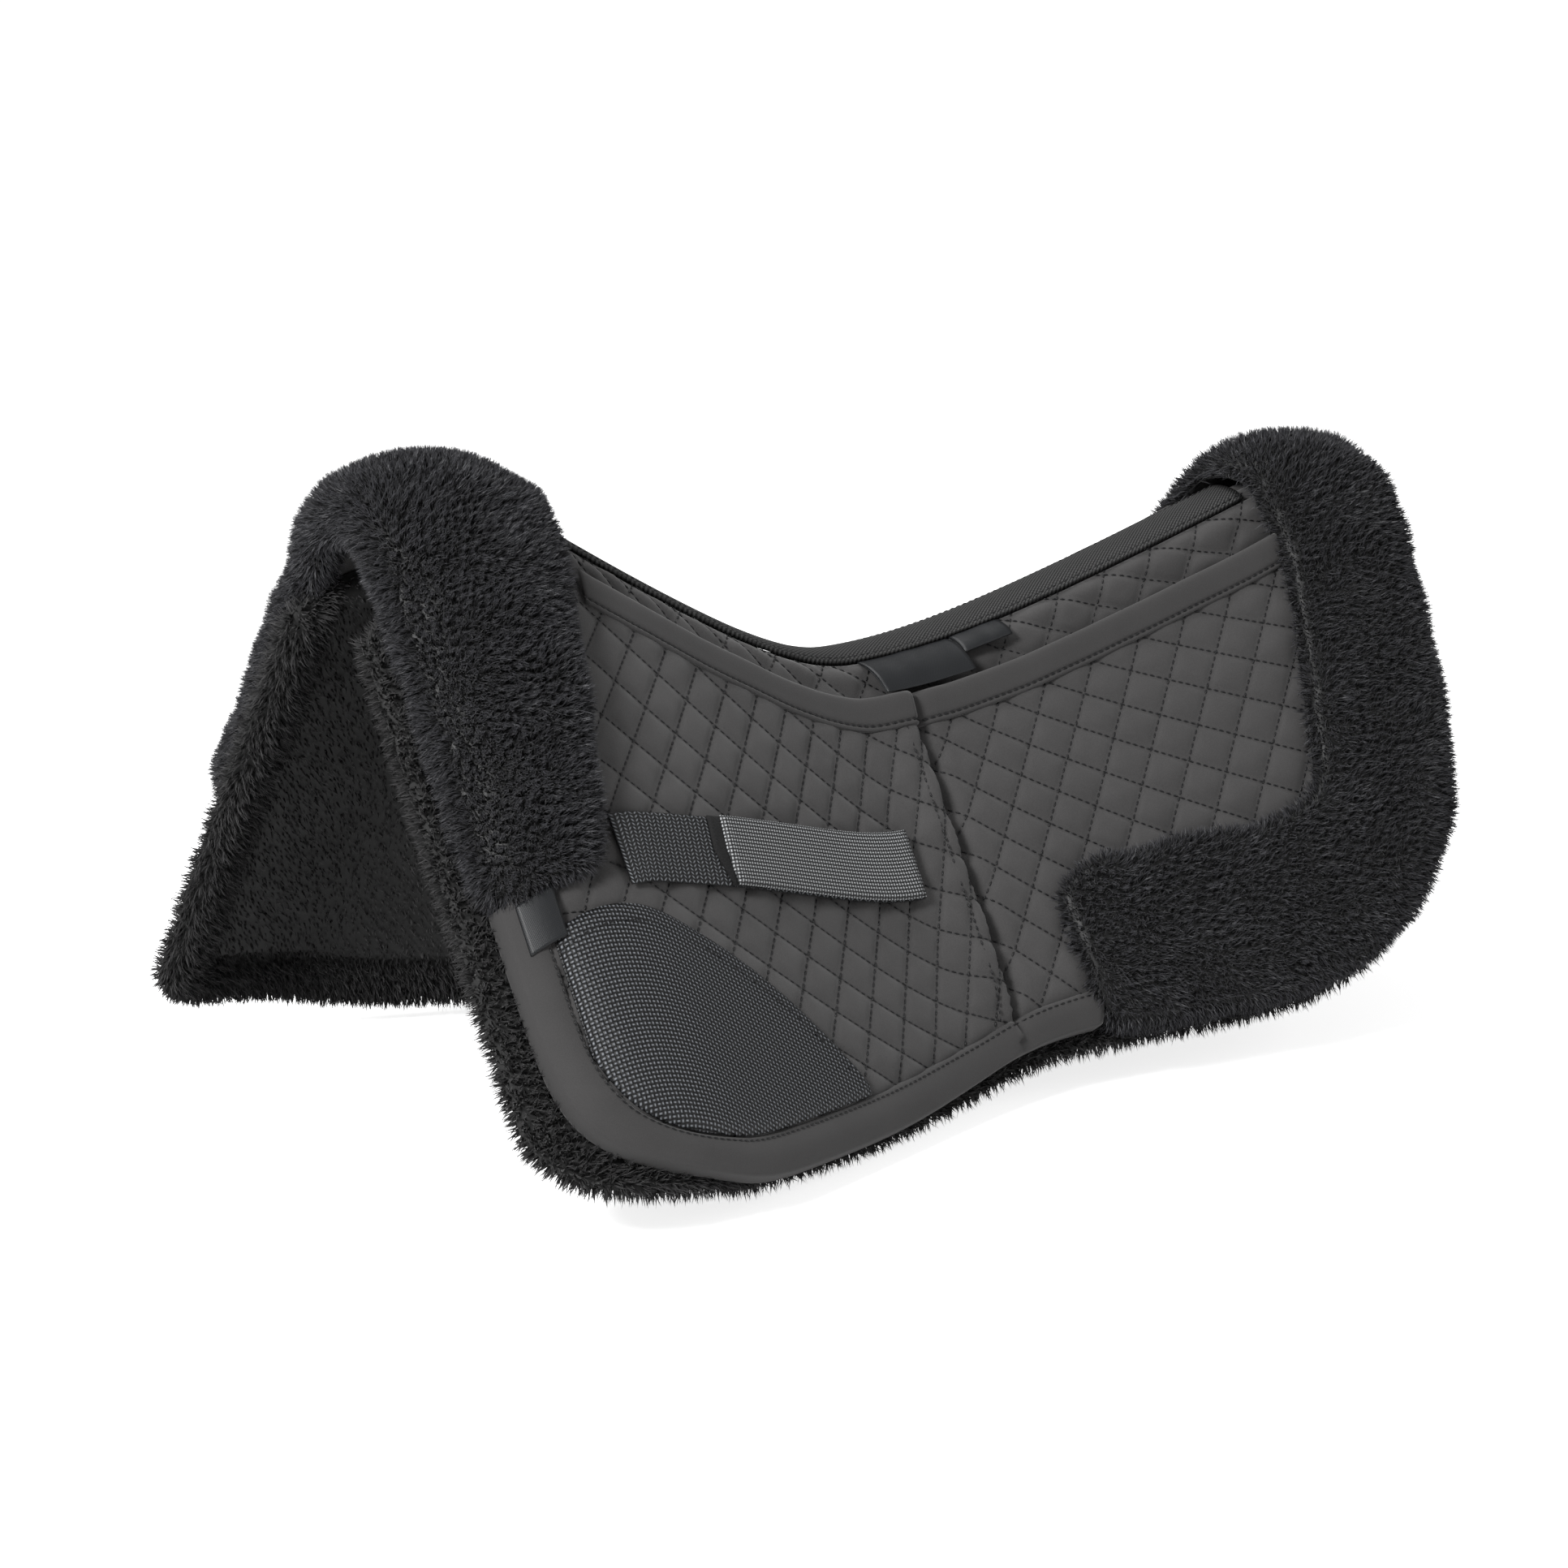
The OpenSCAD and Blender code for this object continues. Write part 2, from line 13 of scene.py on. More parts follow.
import bpy
import bmesh
import numpy as np
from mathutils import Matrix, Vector, noise


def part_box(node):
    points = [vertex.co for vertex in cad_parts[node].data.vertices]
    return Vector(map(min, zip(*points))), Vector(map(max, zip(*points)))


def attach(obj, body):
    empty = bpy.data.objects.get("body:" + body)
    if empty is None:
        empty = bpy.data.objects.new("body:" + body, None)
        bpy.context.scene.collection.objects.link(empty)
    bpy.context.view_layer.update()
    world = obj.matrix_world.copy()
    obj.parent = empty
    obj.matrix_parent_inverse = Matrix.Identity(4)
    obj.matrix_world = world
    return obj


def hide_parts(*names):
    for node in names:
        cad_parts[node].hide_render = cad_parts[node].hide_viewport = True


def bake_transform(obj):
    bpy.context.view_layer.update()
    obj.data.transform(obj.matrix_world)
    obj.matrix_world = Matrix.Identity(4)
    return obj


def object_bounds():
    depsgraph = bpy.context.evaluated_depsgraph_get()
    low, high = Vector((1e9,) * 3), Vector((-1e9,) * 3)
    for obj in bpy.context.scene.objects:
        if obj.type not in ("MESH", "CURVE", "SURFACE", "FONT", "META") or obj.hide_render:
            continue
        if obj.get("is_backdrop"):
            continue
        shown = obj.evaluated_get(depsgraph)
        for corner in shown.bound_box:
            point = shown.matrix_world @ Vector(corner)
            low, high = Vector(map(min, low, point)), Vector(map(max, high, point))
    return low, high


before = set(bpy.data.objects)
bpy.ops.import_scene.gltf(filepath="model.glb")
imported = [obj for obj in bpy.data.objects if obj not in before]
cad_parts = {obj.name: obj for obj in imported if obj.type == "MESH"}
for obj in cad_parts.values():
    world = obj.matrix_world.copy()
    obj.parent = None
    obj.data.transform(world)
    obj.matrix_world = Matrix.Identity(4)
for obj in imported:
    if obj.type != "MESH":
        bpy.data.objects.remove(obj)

log = logging.getLogger("half_pad")
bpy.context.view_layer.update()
MM = 0.001


class Side(Enum):
    """The horse's side that a piece lies on."""

    NEAR = "near"
    OFF = "off"

    @property
    def panel(self) -> str:
        """Name of the body that the side's panel belongs to."""
        return f"{self.value}_panel"


# ---------------------------------------------------------------- the form


def smooth(value: np.ndarray | float, low: float, high: float) -> np.ndarray:
    """Smooth step from 0 at low to 1 at high.

    Args:
        value: Where to read the step.
        low: Value at which it starts.
        high: Value at which it ends.

    Returns:
        The step, from 0 to 1.
    """
    t = np.clip((np.asarray(value, float) - low) / (high - low), 0, 1)
    return t * t * (3 - 2 * t)


@dataclass(frozen=True)
class PadForm:
    """The pad's surface: an arch over the spine, then a flat lean on each side.

    A place on it is x along the horse, depth u from the spine's centre line along
    the arch and panel, and level h above the quilted base's outer face.
    """

    front: float = 0.285
    rear: float = 0.335
    lean: float = math.radians(33)
    arch_radius: float = 0.035
    spine_top: float = 0.0085
    rise: tuple[float, float] = (0.65, 0.31)
    dip_round: tuple[float, float] = (0.036, 0.030)
    nose: tuple[float, float] = (6.7, 6.0)
    nose_length: tuple[float, float] = (0.085, 0.065)
    corners: tuple[tuple[float, float, float], ...] = (
        (-0.285, 0.0348, 0),
        (-0.285, 0.417, 0.062),
        (0.015, 0.217, 0.130),
        (0.285, 0.283, 0.100),
        (0.335, 0.055, 0.150),
        (0.335, -0.060, 0),
    )
    mouth: float = 0.043
    seam: float = 0.013
    hem_span: tuple[float, float] = (-0.2849, 0.3345)

    @property
    def arch_end(self) -> float:
        """Depth at which the arch becomes a flat panel."""
        return self.arch_radius * (math.pi / 2 - self.lean)

    def spine_z(self, x: np.ndarray) -> np.ndarray:
        """Height of the spine's top face at x."""
        x = np.asarray(x, float)
        side = (x > 0).astype(int)
        rise, bend = np.array(self.rise)[side], np.array(self.dip_round)[side]
        z = self.spine_top + np.sqrt(bend**2 + (rise * x) ** 2) - bend
        over_front = np.clip(-self.front + self.nose_length[0] - x, 0, None)
        over_rear = np.clip(x - self.rear + self.nose_length[1], 0, None)
        return z - self.nose[0] * over_front**2 - self.nose[1] * over_rear**2

    def place(self, x: np.ndarray, u: np.ndarray, h: np.ndarray) -> np.ndarray:
        """Points of the near side.

        Args:
            x: Distance along the horse.
            u: Depth along the arch and panel.
            h: Level above the base's outer face.

        Returns:
            An array of points, one more axis than the inputs.
        """
        x, u, h = np.broadcast_arrays(*(np.asarray(v, float) for v in (x, u, h)))
        angle = np.clip(u, -1, self.arch_end) / self.arch_radius
        run = np.clip(u - self.arch_end, 0, None)
        reach = self.arch_radius + h
        y = reach * np.sin(angle) + run * math.sin(self.lean)
        z = self.spine_z(x) - self.arch_radius + reach * np.cos(angle) - run * math.cos(self.lean)
        return np.stack([x, -y, z], -1)

    @cache
    def outline(self) -> np.ndarray:
        """Samples down the front edge, along the hem and up the rear edge to the spine.

        Returns:
            Rows of x, depth, and the inward normal's x and depth.
        """
        c = np.array([p[:2] for p in self.corners])
        heads = np.arctan2(*(c[1:] - c[:-1]).T[::-1])
        turns = np.diff(heads)
        cuts = [0.0, *(self.corners[i + 1][2] * math.tan(abs(t) / 2) for i, t in enumerate(turns)), 0.0]
        rows = []
        for i, head in enumerate(heads):
            along = np.array([math.cos(head), math.sin(head)])
            start, end = c[i] + cuts[i] * along, c[i + 1] - cuts[i + 1] * along
            for s in np.linspace(0, 1, max(2, int(np.linalg.norm(end - start) / 0.003))):
                rows.append([*(start + (end - start) * s), math.sin(head), -math.cos(head)])
            if i < len(turns):
                side, radius = (1 if turns[i] < 0 else -1), self.corners[i + 1][2]
                centre = end + side * radius * np.array([math.sin(head), -math.cos(head)])
                for s in np.linspace(0, 1, max(3, int(abs(turns[i]) / 0.04)))[1:-1]:
                    a = head + turns[i] * s
                    m = np.array([math.sin(a), -math.cos(a)])
                    rows.append([*(centre - side * radius * m), *m])
        path = np.array(rows)
        return self.eased(path[path[:, 1] >= -1e-6])

    def eased(self, path: np.ndarray) -> np.ndarray:
        """The path with its changes of bend softened, as a sewn edge lies.

        Args:
            path: Rows of place and inward normal.

        Returns:
            Evenly spaced rows of place and inward normal.
        """
        run = np.concatenate([[0], np.cumsum(np.linalg.norm(np.diff(path[:, :2], axis=0), axis=1))])
        even = np.linspace(0, run[-1], int(run[-1] / 0.003))
        points = np.stack([np.interp(even, run, path[:, i]) for i in range(2)], -1)
        reach = 20
        padded = np.pad(points, ((reach, reach), (0, 0)), mode="reflect", reflect_type="odd")
        weights = np.hanning(2 * reach + 3)[1:-1]
        soft = np.stack([np.convolve(padded[:, i], weights / weights.sum(), "valid") for i in range(2)], -1)
        way = np.gradient(soft, axis=0)
        way /= np.linalg.norm(way, axis=1, keepdims=True)
        return np.concatenate([soft, np.stack([way[:, 1], -way[:, 0]], -1)], 1)

    def within(self, x: np.ndarray) -> np.ndarray:
        """Each x, kept where the hem has a depth."""
        return np.clip(x, *self.hem_span)

    def hem_depth(self, x: np.ndarray, inset: float = 0.0) -> np.ndarray:
        """Depth of the hem, moved inward by inset, at x."""
        path = self.outline()
        low = path[int(np.argmax(path[:, 1] > 0.30)) :]
        moved = low[:, :2] + low[:, 2:] * inset
        return np.interp(x, np.maximum.accumulate(moved[:, 0]), moved[:, 1])

    def cover_level(self, x: np.ndarray, u: np.ndarray) -> np.ndarray:
        """Level of the pocket covers: full over the shims, low at their seams."""
        x, u = np.broadcast_arrays(np.asarray(x, float), np.asarray(u, float))
        seam = np.where(x < self.seam, (self.seam - x) / 0.005 + 0.55, (x - self.seam) / 0.016)
        share = np.minimum.reduce(
            [(self.hem_depth(x) - u) / 0.034, (x + self.front) / 0.034, (self.rear - x) / 0.034, seam]
        )
        share = np.clip(share, 0, 1)
        lip = np.where(x < self.seam, smooth(x, self.seam - 0.034, self.seam - 0.006), 0.0)
        lip = lip * smooth(self.hem_depth(x) - u, 0.016, 0.040) * (
            1 - 0.35 * smooth(x, self.seam - 0.005, self.seam)
        )
        valley = np.where(x >= self.seam, 1 - smooth(x, self.seam + 0.002, self.seam + 0.014), 0.0)
        return 0.0039 + 0.0065 * share * (2 - share) + 0.0048 * lip - 0.0024 * valley * smooth(
            u, 0.060, 0.080
        )


FORM = PadForm()


def lumps(points: np.ndarray, size: float, seed: float) -> np.ndarray:
    """Soft noise from -1 to 1 at each point.

    Args:
        points: Points, in metres.
        size: Size of one lump, in metres.
        seed: Moves the noise, so that pieces differ.

    Returns:
        One value for each point.
    """
    flat = points.reshape(-1, 3) / size + seed
    return np.array([noise.noise(Vector(p)) for p in flat]).reshape(points.shape[:-1])


def spline(keys: Sequence[Sequence[float]], steps: int) -> np.ndarray:
    """A smooth curve through keys.

    Args:
        keys: Points of any dimension.
        steps: Samples for each gap between keys.

    Returns:
        The samples, both ends included.
    """
    k = np.array(keys, float)
    k = np.vstack([2 * k[0] - k[1], k, 2 * k[-1] - k[-2]])
    t = np.linspace(0, 1, steps, endpoint=False)[:, None]
    parts = []
    for a, b, c, d in zip(k[:-3], k[1:-2], k[2:-1], k[3:]):
        parts.append(
            0.5 * (
                2 * b + (c - a) * t + (2 * a - 5 * b + 4 * c - d) * t**2 + (3 * b - a - 3 * c + d) * t**3
            )
        )
    return np.vstack([*parts, k[-2][None]])


# ------------------------------------------------------------ mesh helpers


def new_object(name: str, vertices: np.ndarray, faces: list, edges: list | None = None) -> bpy.types.Object:
    """Links a new mesh object at the origin.

    Args:
        name: The piece's name.
        vertices: Its points, in metres.
        faces: Lists of vertex numbers.
        edges: Pairs of vertex numbers, for wire paths.

    Returns:
        The object.
    """
    mesh = bpy.data.meshes.new(name)
    mesh.from_pydata([tuple(v) for v in vertices], edges or [], faces)
    mesh.shade_smooth()
    obj = bpy.data.objects.new(name, mesh)
    bpy.context.scene.collection.objects.link(obj)
    return obj


def grid_faces(rows: int, columns: int, start: int = 0) -> list[tuple[int, ...]]:
    """Quads of a grid whose vertices are numbered row by row from start."""
    return [
        (
            start + i * columns + j,
            start + i * columns + j + 1,
            start + (i + 1) * columns + j + 1,
            start + (i + 1) * columns + j,
        )
        for i in range(rows - 1)
        for j in range(columns - 1)
    ]


def set_uv(obj: bpy.types.Object, uv: np.ndarray) -> None:
    """Gives a piece a UV map, in metres, from one pair for each vertex."""
    layer = obj.data.uv_layers.new(name="UVMap")
    index = np.empty(len(obj.data.loops), int)
    obj.data.loops.foreach_get("vertex_index", index)
    layer.data.foreach_set("uv", uv[index].astype(np.float32).ravel())


def set_attribute(obj: bpy.types.Object, name: str, values: np.ndarray) -> None:
    """Stores one number for each vertex under a name."""
    attribute = obj.data.attributes.new(name, "FLOAT", "POINT")
    attribute.data.foreach_set("value", values.astype(np.float32).ravel())


def outward(obj: bpy.types.Object) -> None:
    """Turns the faces of a closed piece outwards."""
    bm = bmesh.new()
    bm.from_mesh(obj.data)
    bmesh.ops.recalc_face_normals(bm, faces=bm.faces)
    bm.to_mesh(obj.data)
    bm.free()


def shell(name: str, outer: np.ndarray, inner: np.ndarray, uv: np.ndarray | None = None) -> bpy.types.Object:
    """A closed sheet between two grids of points.

    Args:
        name: The piece's name.
        outer: Rows and columns of points.
        inner: The same, on the other face.
        uv: One pair for each point of a grid, used on both faces.

    Returns:
        The object.
    """
    rows, columns = outer.shape[:2]
    n = rows * columns
    faces = grid_faces(rows, columns) + [tuple(reversed(f)) for f in grid_faces(rows, columns, n)]
    rim = [i * columns for i in range(rows)]
    rim += [(rows - 1) * columns + j for j in range(1, columns)]
    rim += [i * columns + columns - 1 for i in range(rows - 2, -1, -1)]
    rim += [j for j in range(columns - 2, 0, -1)]
    faces += [(a, b, b + n, a + n) for a, b in zip(rim, rim[1:] + rim[:1])]
    obj = new_object(name, np.concatenate([outer.reshape(-1, 3), inner.reshape(-1, 3)]), faces)
    outward(obj)
    if uv is not None:
        flat = uv.reshape(-1, 2)
        set_uv(obj, np.concatenate([flat, flat]))
    return obj


def bake(obj: bpy.types.Object) -> bpy.types.Object:
    """Turns a piece and its modifiers into one plain mesh."""
    graph = bpy.context.evaluated_depsgraph_get()
    mesh = bpy.data.meshes.new_from_object(
        obj.evaluated_get(graph), preserve_all_data_layers=True, depsgraph=graph
    )
    obj.modifiers.clear()
    obj.data = mesh
    return obj


def mirrored(obj: bpy.types.Object, name: str) -> bpy.types.Object:
    """A copy of a near piece for the off side.

    Args:
        obj: The near piece, finished.
        name: The copy's name.

    Returns:
        The copy.
    """
    mesh = obj.data.copy()
    co = np.empty(len(mesh.vertices) * 3, np.float32)
    mesh.vertices.foreach_get("co", co)
    co[1::3] *= -1
    mesh.vertices.foreach_set("co", co)
    mesh.flip_normals()
    mesh.update()
    copy = bpy.data.objects.new(name, mesh)
    bpy.context.scene.collection.objects.link(copy)
    return copy


# ------------------------------------------------------------------ finishes


def linear(colour: str) -> tuple[float, float, float, float]:
    """An sRGB hex colour as linear RGBA."""
    parts = [int(colour[i : i + 2], 16) / 255 for i in (1, 3, 5)]
    return (*(c / 12.92 if c <= 0.04045 else ((c + 0.055) / 1.055) ** 2.4 for c in parts), 1.0)


def add_node(
    tree: bpy.types.NodeTree, kind: str, settings: dict | None = None, inputs: dict | None = None
) -> bpy.types.Node:
    """Adds a node to a tree, with its settings and links.

    Args:
        tree: The material's or geometry's tree.
        kind: The node's type name.
        settings: Attributes to set on the node.
        inputs: A value or another node's output for each input, by name or number.

    Returns:
        The node.
    """
    node = tree.nodes.new(kind)
    for key, value in (settings or {}).items():
        setattr(node, key, value)
    for key, value in (inputs or {}).items():
        if isinstance(value, bpy.types.NodeSocket):
            tree.links.new(value, node.inputs[key])
        else:
            node.inputs[key].default_value = value
    return node


class Weave(Enum):
    """How a woven finish's threads cross."""

    BASKET = "basket"
    TWILL = "twill"
    CHEVRON = "chevron"


@dataclass(frozen=True)
class Cloth:
    """A matt cloth with a fine nap: painted shade darkens its colour in the nap's hollows, and a wider random
    mottling varies its tone.

    Attributes:
        name: What the material is.
        dark: Its colour in the nap's hollows, standing for painted shade.
        light: Its colour on the nap.
        nap: Size of the nap's grain, in metres.
        depth: Height of the nap, in metres.
        roughness: Surface roughness.
        sheen: Strength of the nap's sheen.
    """

    name: str
    dark: str
    light: str
    nap: float = 0.0006
    depth: float = 0.00012
    roughness: float = 0.82
    sheen: float = 0.12

    def make(self) -> bpy.types.Material:
        """Builds the material."""
        material = bpy.data.materials.new(self.name)
        material.use_nodes = True
        tree = material.node_tree
        shader = tree.nodes["Principled BSDF"]
        place = add_node(tree, "ShaderNodeTexCoord").outputs["Object"]
        fine = add_node(
            tree, "ShaderNodeTexNoise", None, {"Vector": place, "Scale": 1 / self.nap, "Detail": 3.0}
        )
        wide = add_node(
            tree, "ShaderNodeTexNoise", None, {"Vector": place, "Scale": 1 / 0.035, "Detail": 4.0}
        )
        # The fine nap noise drives both the bump and the colour, so the hollows get painted shade; the wide
        # noise adds random mottling.
        both = add_node(
            tree, "ShaderNodeMath", {"operation": "MULTIPLY_ADD"}, {0: fine.outputs[0], 1: 0.75, 2: -0.12}
        )
        mixed = add_node(
            tree,
            "ShaderNodeMath",
            {"operation": "MULTIPLY_ADD"},
            {0: wide.outputs[0], 1: 0.5, 2: both.outputs[0]},
        )
        tone = add_node(
            tree, "ShaderNodeMix", {"data_type": "RGBA"}, {
                0: mixed.outputs[0], 6: linear(self.dark), 7: linear(self.light)
            }
        )
        bump = add_node(
            tree,
            "ShaderNodeBump",
            None,
            {"Strength": 1.0, "Distance": self.depth, "Height": fine.outputs[0]},
        )
        tree.links.new(tone.outputs[2], shader.inputs["Base Color"])
        tree.links.new(bump.outputs[0], shader.inputs["Normal"])
        shader.inputs["Roughness"].default_value = self.roughness
        shader.inputs["Specular IOR Level"].default_value = 0.3
        shader.inputs["Sheen Weight"].default_value = self.sheen
        shader.inputs["Sheen Roughness"].default_value = 0.5
        return material


@dataclass(frozen=True)
class Woven:
    """A woven cloth or webbing whose threads follow the piece's own UV map.

    Attributes:
        name: What the material is.
        weave: How the threads cross.
        dark: Colour between the threads, painted shade.
        light: Colour on top of the threads, a painted highlight.
        pitch: Spacing of the threads, in metres.
        depth: Height of the threads, in metres.
        roughness: Surface roughness.
        slant: Slope of twill lines or chevrons.
        glint_sharpness: How narrow the painted highlights on the thread tops are.
    """

    name: str
    weave: Weave
    dark: str
    light: str
    pitch: float
    depth: float = 0.0003
    roughness: float = 0.5
    slant: float = 0.9
    glint_sharpness: float = 3.0

    def make(self) -> bpy.types.Material:
        """Builds the material."""
        material = bpy.data.materials.new(self.name)
        material.use_nodes = True
        tree = material.node_tree
        shader = tree.nodes["Principled BSDF"]

        def calc(operation: str, a: object, b: object = 0.0, c: object = 0.0) -> bpy.types.NodeSocket:
            """One step of arithmetic on the thread pattern."""
            return add_node(tree, "ShaderNodeMath", {"operation": operation}, {0: a, 1: b, 2: c}).outputs[0]

        split = add_node(
            tree, "ShaderNodeSeparateXYZ", None, {0: add_node(tree, "ShaderNodeTexCoord").outputs["UV"]}
        )
        along = calc("MULTIPLY", split.outputs[0], 1 / self.pitch)
        across = calc("MULTIPLY", split.outputs[1], 1 / self.pitch)
        if self.weave is Weave.BASKET:
            cell = calc("PINGPONG", calc("ADD", calc("FLOOR", along), calc("FLOOR", across)), 1.0)
            warp = calc("ABSOLUTE", calc("SINE", calc("MULTIPLY", along, math.pi)))
            weft = calc("ABSOLUTE", calc("SINE", calc("MULTIPLY", across, math.pi)))
            tall = calc("MULTIPLY_ADD", calc("SUBTRACT", warp, weft), cell, weft)
            height = calc(
                "MULTIPLY",
                calc("POWER", tall, 0.7),
                calc("MULTIPLY_ADD", calc("MULTIPLY", warp, weft), 0.5, 0.5),
            )
        elif self.weave is Weave.TWILL:
            ridge = calc("MULTIPLY_ADD", across, self.slant, along)
            line = calc("ABSOLUTE", calc("SINE", calc("MULTIPLY", ridge, math.pi)))
            step = calc(
                "ABSOLUTE", calc("SINE", calc("MULTIPLY", calc("SUBTRACT", along, across), math.pi * 0.9))
            )
            height = calc("MULTIPLY", calc("POWER", line, 0.6), calc("MULTIPLY_ADD", step, 0.35, 0.65))
        else:
            turn = calc("MULTIPLY_ADD", calc("PINGPONG", calc("FLOOR", along), 1.0), 2.0, -1.0)
            inside = calc("SUBTRACT", calc("FRACT", along), 0.5)
            ridge = calc(
                "ADD",
                calc("MULTIPLY", across, 1.5),
                calc("MULTIPLY", calc("MULTIPLY", inside, turn), self.slant),
            )
            line = calc("ABSOLUTE", calc("SINE", calc("MULTIPLY", ridge, math.pi)))
            rib = calc("ABSOLUTE", calc("SINE", calc("MULTIPLY", along, math.pi)))
            height = calc("MULTIPLY", calc("POWER", line, 0.6), calc("POWER", rib, 0.45))
        # The colour follows the thread height: painted shade between the threads, painted highlights on their
        # tops.
        tone = add_node(
            tree,
            "ShaderNodeMix",
            {"data_type": "RGBA"},
            {0: calc("POWER", height, self.glint_sharpness), 6: linear(self.dark), 7: linear(self.light)},
        )
        bump = add_node(
            tree, "ShaderNodeBump", None, {"Strength": 1.0, "Distance": self.depth, "Height": height}
        )
        tree.links.new(tone.outputs[2], shader.inputs["Base Color"])
        tree.links.new(bump.outputs[0], shader.inputs["Normal"])
        shader.inputs["Roughness"].default_value = self.roughness
        shader.inputs["Specular IOR Level"].default_value = 0.3
        return material


@dataclass(frozen=True)
class Pile:
    """Fleece fibres, painted darker at the root as painted shade inside the pile and lighter at the tip as
    painted glints, more so in noisy patches.

    Attributes:
        name: What the material is.
        root: Colour at the root and of the skin, painted shade inside the pile.
        tip: Colour at the tip, a painted glint.
        roughness: Surface roughness.
    """

    name: str
    root: str
    tip: str
    roughness: float = 0.55

    def make(self) -> bpy.types.Material:
        """Builds the material."""
        material = bpy.data.materials.new(self.name)
        material.use_nodes = True
        tree = material.node_tree
        shader = tree.nodes["Principled BSDF"]
        tip = add_node(tree, "ShaderNodeAttribute", {"attribute_name": "tip"}).outputs["Fac"]
        place = add_node(tree, "ShaderNodeTexCoord").outputs["Object"]
        patch = add_node(
            tree, "ShaderNodeTexNoise", None, {"Vector": place, "Scale": 1 / 0.018, "Detail": 3.0}
        )
        share = add_node(
            tree, "ShaderNodeMath", {"operation": "MULTIPLY", "use_clamp": True}, {0: tip, 1: 1.0}
        )
        sheen_patches = add_node(
            tree, "ShaderNodeMath", {"operation": "MULTIPLY_ADD"}, {0: patch.outputs[0], 1: 1.3, 2: 0.35}
        )
        both = add_node(
            tree,
            "ShaderNodeMath",
            {"operation": "MULTIPLY", "use_clamp": True},
            {0: share.outputs[0], 1: sheen_patches.outputs[0]},
        )
        # From the root colour, painted shade inside the pile and on the bare skin, to the tip colour, painted
        # glints that show more in the noise patches.
        tone = add_node(
            tree, "ShaderNodeMix", {"data_type": "RGBA"}, {
                0: both.outputs[0], 6: linear(self.root), 7: linear(self.tip)
            }
        )
        tree.links.new(tone.outputs[2], shader.inputs["Base Color"])
        shader.inputs["Roughness"].default_value = self.roughness
        shader.inputs["Specular IOR Level"].default_value = 0.4
        shader.inputs["Sheen Weight"].default_value = 0.1
        return material


class Finishes:
    """The pad's materials, built once and shared."""

    def __init__(self) -> None:
        """Builds every material."""
        # Peached polyester microfibre: matt charcoal, its soft nap mottled at random and with painted shade
        # in the nap's hollows
        self.shell = Cloth("peached_polyester", "#2c2b2b", "#444343").make()
        # The same cloth cut as bias binding: a little darker where it's stretched smooth
        self.binding = Cloth("polyester_bias_binding", "#282727", "#3b3a3a", 0.0005, 0.00008).make()
        # Deep synthetic fleece: painted shade, black, at the skin and fibre roots; painted soft grey glints
        # at the fibre tips
        self.fleece = Pile("acrylic_fleece", "#060607", "#38383c").make()
        # The same fleece shorn short for the lining: closer and flatter, faintly brown, with the same painted
        # shade at the roots and painted glints at the tips
        self.shorn = Pile("shorn_acrylic_fleece", "#090909", "#2d2c2d", 0.7).make()
        # Twill-woven polyester tape: fine slanting ribs, painted shade between them and painted grey glints
        # on their tops
        self.tape = Woven("twill_tape", Weave.TWILL, "#060606", "#3e3e3e", 0.0026, slant=1.5).make()
        # Heavy ballistic nylon: coarse basket weave, painted highlights where the threads rise and painted
        # shade between them
        self.ballistic = Woven(
            "ballistic_nylon", Weave.BASKET, "#050506", "#7c7f84", 0.0022, 0.0005, glint_sharpness=5.0
        ).make()
        # Ribbed polypropylene webbing: columns of little slanting threads, painted highlights on their tops
        # and painted shade between them
        self.ribbed = Woven(
            "ribbed_webbing", Weave.CHEVRON, "#040405", "#7a7d81", 0.0030, 0.0006, glint_sharpness=6.0
        ).make()
        # Closer webbing of the folded end: a fine even basket, painted highlights on the threads and painted
        # shade between them
        self.close_webbing = Woven(
            "close_webbing", Weave.BASKET, "#141516", "#b9bbbd", 0.0019, glint_sharpness=4.0
        ).make()
        # Woven satin label: smooth, with hair-fine lines of faint painted highlight and painted shade
        self.satin = Woven("satin_label", Weave.TWILL, "#0f1011", "#242629", 0.0009, 0.00005, 0.4).make()
        # Bonded polyester thread: black with a slight gloss
        self.thread = Cloth("bonded_thread", "#0b0b0c", "#1d1d1f", 0.0004, 0.00003, 0.4, 0.0).make()
        # Hook tape: black and hairy
        self.hook = Cloth("hook_tape", "#030303", "#111112", 0.0008, 0.0005, 0.8, 0.02).make()
        # Closed-cell foam of the shims: mid grey with fine cells
        self.foam = Cloth("closed_cell_foam", "#55575a", "#6f7174", 0.0009, 0.0002, 0.9, 0.0).make()


# ---------------------------------------------------------- geometry trees


def new_tree(name: str, sockets: dict[str, str]) -> tuple[bpy.types.NodeTree, bpy.types.Node, bpy.types.Node]:
    """A geometry tree with named inputs.

    Args:
        name: The tree's name.
        sockets: Each input's name and socket type.

    Returns:
        The tree, its input node and its output node.
    """
    tree = bpy.data.node_groups.new(name, "GeometryNodeTree")
    tree.interface.new_socket("Geometry", in_out="INPUT", socket_type="NodeSocketGeometry")
    tree.interface.new_socket("Geometry", in_out="OUTPUT", socket_type="NodeSocketGeometry")
    for socket, kind in sockets.items():
        tree.interface.new_socket(socket, in_out="INPUT", socket_type=kind)
    return tree, tree.nodes.new("NodeGroupInput"), tree.nodes.new("NodeGroupOutput")


